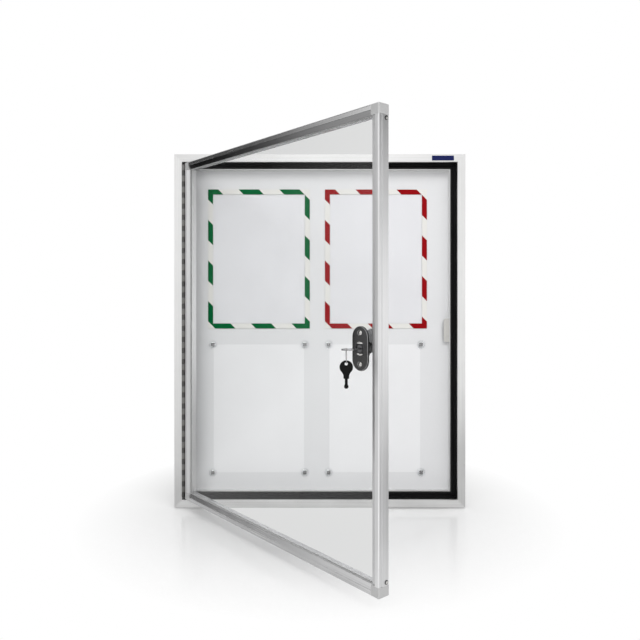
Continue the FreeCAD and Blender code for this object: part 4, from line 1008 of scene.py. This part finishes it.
# Key ring: a split ring of two turns of flattened wire

RING_TURNS = 2
RING_STEPS = 64
RING_WALL = 1.4 * MM
RING_PLAY = 0.03 * MM
WIRE_CORNER = 0.22 * MM
WIRE_STEPS = 3


def key_ring():
    low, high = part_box("key_ring")
    centre = (low + high) / 2
    reach = (high.z - low.z) / 2 - RING_WALL / 2
    width = high.x - low.x
    wire = width / 2 - RING_PLAY
    section = []
    for sign_a, sign_b, first in ((1, 1, 0), (-1, 1, 90), (-1, -1, 180), (1, -1, 270)):
        middle = (sign_a * (wire / 2 - WIRE_CORNER), sign_b * (RING_WALL / 2 - WIRE_CORNER))
        section += arc(middle, WIRE_CORNER, first, first + 90, WIRE_STEPS)
    rings = []
    steps = RING_STEPS * RING_TURNS
    for step in range(steps + 1):
        turn = 2 * math.pi * RING_TURNS * step / steps
        shift = (width - wire) * (step / steps - 0.5)
        rings.append([(centre.x + shift + across, centre.y + (reach + out) * math.sin(turn),
                       centre.z + (reach + out) * math.cos(turn)) for across, out in section])
    piece("split_ring", loft(rings), key_steel, "key_ring", ["key_ring"])


key_ring()

# Spare key: a moulded head with a hole for the ring and a dish in each face

SPARE_NECK = 4.4 * MM
SPARE_EDGE = 0.8 * MM
SPARE_EDGE_STEPS = 4
SPARE_HOLE = 2.5 * MM
SPARE_HOLE_RISE = 5.1 * MM
SPARE_HOLE_SEGMENTS = 32
FOOT_EDGE = 0.6 * MM
DISC_STEPS = 40
FLARE_ANGLE = 14
FLARE_WIDTH = 1.25
FLARE_DROP = 0.98
NECK_DROP = 1.2
DISH_BOTTOM = 5.2 * MM
DISH_RIM = 5.8 * MM
DISH_SINK = 0.45 * MM
DISH_ABOVE = 0.3 * MM
DISH_FALL = 3.2 * MM
DISH_SEGMENTS = 48


def spare_outline(radius, drop, inset):
    """The head's outline: a disc that runs into a neck."""
    lean = math.degrees(math.asin(min(1.0, SPARE_NECK / radius)))
    start = -90 + lean + FLARE_ANGLE
    points = arc((0, 0), radius - inset, start, 180 - start, DISC_STEPS)
    half = SPARE_NECK - inset
    foot = -drop + inset
    points += [(-half * FLARE_WIDTH, -radius * FLARE_DROP), (-half, -radius * NECK_DROP)]
    points += [(-half, foot + FOOT_EDGE), (-half + FOOT_EDGE, foot)]
    points += [(half - FOOT_EDGE, foot), (half, foot + FOOT_EDGE)]
    points += [(half, -radius * NECK_DROP), (half * FLARE_WIDTH, -radius * FLARE_DROP)]
    return points


def spare_head():
    low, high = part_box("spare_key_head")
    radius = (high.x - low.x) / 2
    centre = Vector(((low.x + high.x) / 2, (low.y + high.y) / 2, high.z - radius))
    drop = centre.z - low.z
    half = (high.y - low.y) / 2
    edge = arc((SPARE_EDGE, SPARE_EDGE), SPARE_EDGE, 180, 270, SPARE_EDGE_STEPS)
    rings = [[(x, z, fall - half) for x, z in spare_outline(radius, drop, inset)]
             for inset, fall in reversed(edge)]
    rings += [[(x, z, half - fall) for x, z in spare_outline(radius, drop, inset)] for inset, fall in edge]
    made = loft(rings)
    hole = lathe([(0, -2 * half), (SPARE_HOLE, -2 * half), (SPARE_HOLE, 2 * half), (0, 2 * half)],
                 SPARE_HOLE_SEGMENTS)
    hole.transform(Matrix.Translation((0, SPARE_HOLE_RISE, 0)))
    made = carve(made, hole)
    for side in (-1, 1):
        dish = lathe([(0, -DISH_SINK), (DISH_BOTTOM, -DISH_SINK), (DISH_RIM, DISH_ABOVE), (0, DISH_ABOVE)],
                     DISH_SEGMENTS)
        flip = Matrix.Rotation(0 if side > 0 else math.pi, 4, "X")
        dish.transform(Matrix.Translation((0, -DISH_FALL, side * half)) @ flip)
        made = carve(made, dish)
    piece("spare_key_grip", made, key_black, "spare_key", ["spare_key_head"], standing(*centre))


spare_head()

# Magnets: clear caps with a shallow dome, a soft rim and a socket for the core

MAGNET_RADIUS = 10.0 * MM
MAGNET_ASIDE = 1.8 * MM
MAGNET_SOCKET = 3.6 * MM
SOCKET_PLAY = 0.1 * MM
SKIRT_HEIGHT = 1.6 * MM
SKIRT_INSET = 0.5 * MM
SKIRT_EDGE = 0.6 * MM
CAP_STEPS = 14
CAP_SEGMENTS = 40


def magnets():
    cap_low, cap_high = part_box("magnet_caps")
    core_low, core_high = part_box("magnet_cores")
    places = []
    for side in ("left", "right"):
        low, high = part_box(f"paper_sheet_{side}")
        for across in (low.x - MAGNET_ASIDE, high.x + MAGNET_ASIDE):
            for up in (low.z, high.z):
                places.append((across, cap_high.y, up))
    rise = cap_high.y - cap_low.y - SKIRT_HEIGHT
    ceiling = core_high.y - core_low.y + SOCKET_PLAY
    profile = [(0, ceiling), (MAGNET_SOCKET, ceiling), (MAGNET_SOCKET, 0)]
    profile += [(MAGNET_RADIUS - SKIRT_INSET, 0), (MAGNET_RADIUS, SKIRT_EDGE)]
    profile += [(MAGNET_RADIUS * x, SKIRT_HEIGHT + rise * z) for x, z in arc((0, 0), 1.0, 0, 90, CAP_STEPS)]
    parts = [(lathe(profile, CAP_SEGMENTS), facing((0, -1, 0), place)) for place in places]
    piece("magnet_domes", gather(parts), magnet_clear, "case", ["magnet_caps"])


magnets()

# Floor, world, lights and camera

FLOOR_DROP = 2.5 * MM
FLOOR_REACH = 30.0
FLOOR_GREY = (0.84, 0.84, 0.84, 1)
FLOOR_ROUGH = 0.16
FLOOR_GLOSS = 0.4
WHITE = (1, 1, 1, 1)

# What each kind of ray sees of the studio, where 1 is white
CAMERA_SEES = 1.0
GLASS_SHOWS = 0.74
SURROUND_LIGHT = 0.56

# The studio that only metal and gloss mirror: a dark gap to the left and behind, and a bright front
DARK_SIDE = math.radians(155)
DARK_LEVEL = 0.05
DARK_LEFT_FADE = (math.radians(4), math.radians(16))
DARK_REAR_FADE = (math.radians(10), math.radians(23))
FRONT_SIDE = math.radians(270)
FRONT_GAIN = 1.45
FRONT_FADE = (math.radians(2), math.radians(14))

# On its right a low strip that is bright at the horizon and dark above it
RIGHT_SIDE = math.radians(356)
RIGHT_FADE = (math.radians(30), math.radians(60))
RIGHT_GAIN = 1.28
RIGHT_LEVEL = 0.05
RIGHT_RISE = (0.02, 0.32)
RIGHT_BELOW = -0.4

# The floor near the object, where it takes the shadows, and far from it, where it is white. What metal and
# gloss mirror of it is a glow, darker near the object as a painted shadow
FLOOR_FADE = (0.28, 0.54)
GAP_START = (0.45, 0.80)
NEAR_MIRRORED = 0.55
FAR_MIRRORED = 0.82
FLOOR_CONTRAST = 1.9


def angle_from(tree, direction, side):
    """The turn about Z from a side to a direction, in radians."""
    turned = Matrix.Rotation(side, 3, "Z")
    parts = []
    for axis in ((0, 1, 0), (1, 0, 0)):
        along = {0: direction, 1: turned @ Vector(axis)}
        parts.append(add(tree, "ShaderNodeVectorMath", along, operation="DOT_PRODUCT").outputs["Value"])
    return arithmetic(tree, "ARCTAN2", *parts)


def mirrored_studio(tree, direction):
    """1 in the open studio, down to the dark level in the gap, and brighter in front."""
    past = angle_from(tree, direction, DARK_SIDE)
    rear = span(tree, past, DARK_LEVEL, 1.0, *DARK_REAR_FADE)
    left = span(tree, arithmetic(tree, "MULTIPLY", past, -1.0), DARK_LEVEL, 1.0, *DARK_LEFT_FADE)
    beside = arithmetic(tree, "ABSOLUTE", angle_from(tree, direction, FRONT_SIDE))
    front = span(tree, beside, FRONT_GAIN, 1.0, *FRONT_FADE)
    aside = arithmetic(tree, "ABSOLUTE", angle_from(tree, direction, RIGHT_SIDE))
    unit = add(tree, "ShaderNodeVectorMath", {0: direction}, operation="NORMALIZE").outputs[0]
    level = add(tree, "ShaderNodeSeparateXYZ", {0: unit}).outputs["Z"]
    rise = arithmetic(tree, "MAXIMUM", level, arithmetic(tree, "MULTIPLY", level, RIGHT_BELOW))
    strip = span(tree, rise, RIGHT_GAIN, RIGHT_LEVEL, *RIGHT_RISE)
    right = choose(tree, span(tree, aside, 1.0, 0.0, *RIGHT_FADE), 1.0, strip)
    sides = arithmetic(tree, "MULTIPLY", front, right)
    return arithmetic(tree, "MULTIPLY", arithmetic(tree, "MAXIMUM", rear, left), sides)


def studio_strength(tree, mirrored, other):
    """The strength for each kind of ray. A ray that bounced in the glass sees what a mirror sees."""
    path = add(tree, "ShaderNodeLightPath")
    value = choose(tree, path.outputs["Is Glossy Ray"], other, mirrored)
    bounced = arithmetic(tree, "GREATER_THAN", path.outputs["Glossy Depth"], 0.5)
    through = choose(tree, bounced, GLASS_SHOWS, mirrored)
    value = choose(tree, path.outputs["Is Transmission Ray"], value, through)
    return choose(tree, path.outputs["Is Camera Ray"], value, CAMERA_SEES)


def floor():
    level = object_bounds()[0].z - FLOOR_DROP
    holder = bpy.data.meshes.new("floor")
    corners = [(-FLOOR_REACH, -FLOOR_REACH), (FLOOR_REACH, -FLOOR_REACH), (FLOOR_REACH, FLOOR_REACH),
               (-FLOOR_REACH, FLOOR_REACH)]
    holder.from_pydata([(x, y, level) for x, y in corners], [], [(0, 1, 2, 3)])
    made, tree, shader = new_material("floor_white", {"Base Color": FLOOR_GREY, "Roughness": FLOOR_ROUGH,
                                                      "Specular IOR Level": FLOOR_GLOSS})
    place = add(tree, "ShaderNodeTexCoord").outputs["Object"]
    flat = add(tree, "ShaderNodeVectorMath", {0: place, 1: (1, 1, 0)}, operation="MULTIPLY")
    reach = add(tree, "ShaderNodeVectorMath", {0: flat.outputs[0]}, operation="LENGTH").outputs["Value"]
    # Painted shadow: what metal and gloss mirror of the floor is darker near the object
    gain = span(tree, reach, NEAR_MIRRORED, FAR_MIRRORED, *FLOOR_FADE)
    studio = choose(tree, span(tree, reach, 0.0, 1.0, *GAP_START), 1.0, mirrored_studio(tree, place))
    mirrored = arithmetic(tree, "MULTIPLY", arithmetic(tree, "POWER", studio, FLOOR_CONTRAST), gain)
    strength = studio_strength(tree, mirrored, 1.0)
    glow = add(tree, "ShaderNodeEmission", {"Color": WHITE, "Strength": strength})
    path = add(tree, "ShaderNodeLightPath")
    shown = arithmetic(tree, "MAXIMUM", path.outputs["Is Camera Ray"], path.outputs["Is Transmission Ray"])
    faded = arithmetic(tree, "MULTIPLY", shown, span(tree, reach, 0.0, 1.0, *FLOOR_FADE))
    share = arithmetic(tree, "MAXIMUM", faded, path.outputs["Is Glossy Ray"])
    mixed = add(tree, "ShaderNodeMixShader", {0: share, 1: shader.outputs[0], 2: glow.outputs[0]})
    tree.links.new(mixed.outputs[0], tree.nodes["Material Output"].inputs["Surface"])
    holder.materials.append(made)
    item = bpy.data.objects.new("floor", holder)
    bpy.context.scene.collection.objects.link(item)
    item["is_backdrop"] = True


floor()


def world():
    made = bpy.data.worlds.new("studio")
    bpy.context.scene.world = made
    made.use_nodes = True
    tree = made.node_tree
    direction = add(tree, "ShaderNodeTexCoord").outputs["Generated"]
    strength = studio_strength(tree, mirrored_studio(tree, direction), SURROUND_LIGHT)
    background = tree.nodes["Background"]
    background.inputs["Color"].default_value = WHITE
    tree.links.new(strength, background.inputs["Strength"])


world()


def soft_light(name, place, size, power, mirrored=False):
    """A lamp that looks at the object, and shows in metal and gloss only if it is mirrored."""
    data = bpy.data.lights.new(name, "AREA")
    data.shape = "RECTANGLE"
    data.size, data.size_y = size
    data.energy = power
    item = bpy.data.objects.new(name, data)
    item.location = place
    item.rotation_euler = (-Vector(place)).to_track_quat("-Z", "Y").to_euler()
    item.visible_glossy = mirrored
    bpy.context.scene.collection.objects.link(item)


soft_light("right_front", place=(1.6, -2.75, 2.8), size=(2.5, 1.4), power=73.0)
soft_light("left_front", place=(-1.4, -2.95, 2.8), size=(2.5, 1.4), power=40.0)
soft_light("sparkle", place=(1.3, -2.0, 2.2), size=(0.3, 0.3), power=2.5, mirrored=True)

CAMERA_PLACE = (0.37 * MM, -1496.6 * MM, 92.3 * MM)
SENSOR_WIDTH = 36.0
FOCAL_LENGTH = 36.05
LENS_SHIFT = -0.0463
camera_data = bpy.data.cameras.new("camera")
camera_data.sensor_width = SENSOR_WIDTH
camera_data.lens = FOCAL_LENGTH
camera_data.shift_y = LENS_SHIFT
camera = bpy.data.objects.new("camera", camera_data)
camera.location = CAMERA_PLACE
camera.rotation_euler = (math.pi / 2, 0, 0)
bpy.context.scene.collection.objects.link(camera)
bpy.context.scene.camera = camera
bpy.context.scene.view_settings.view_transform = "Standard"
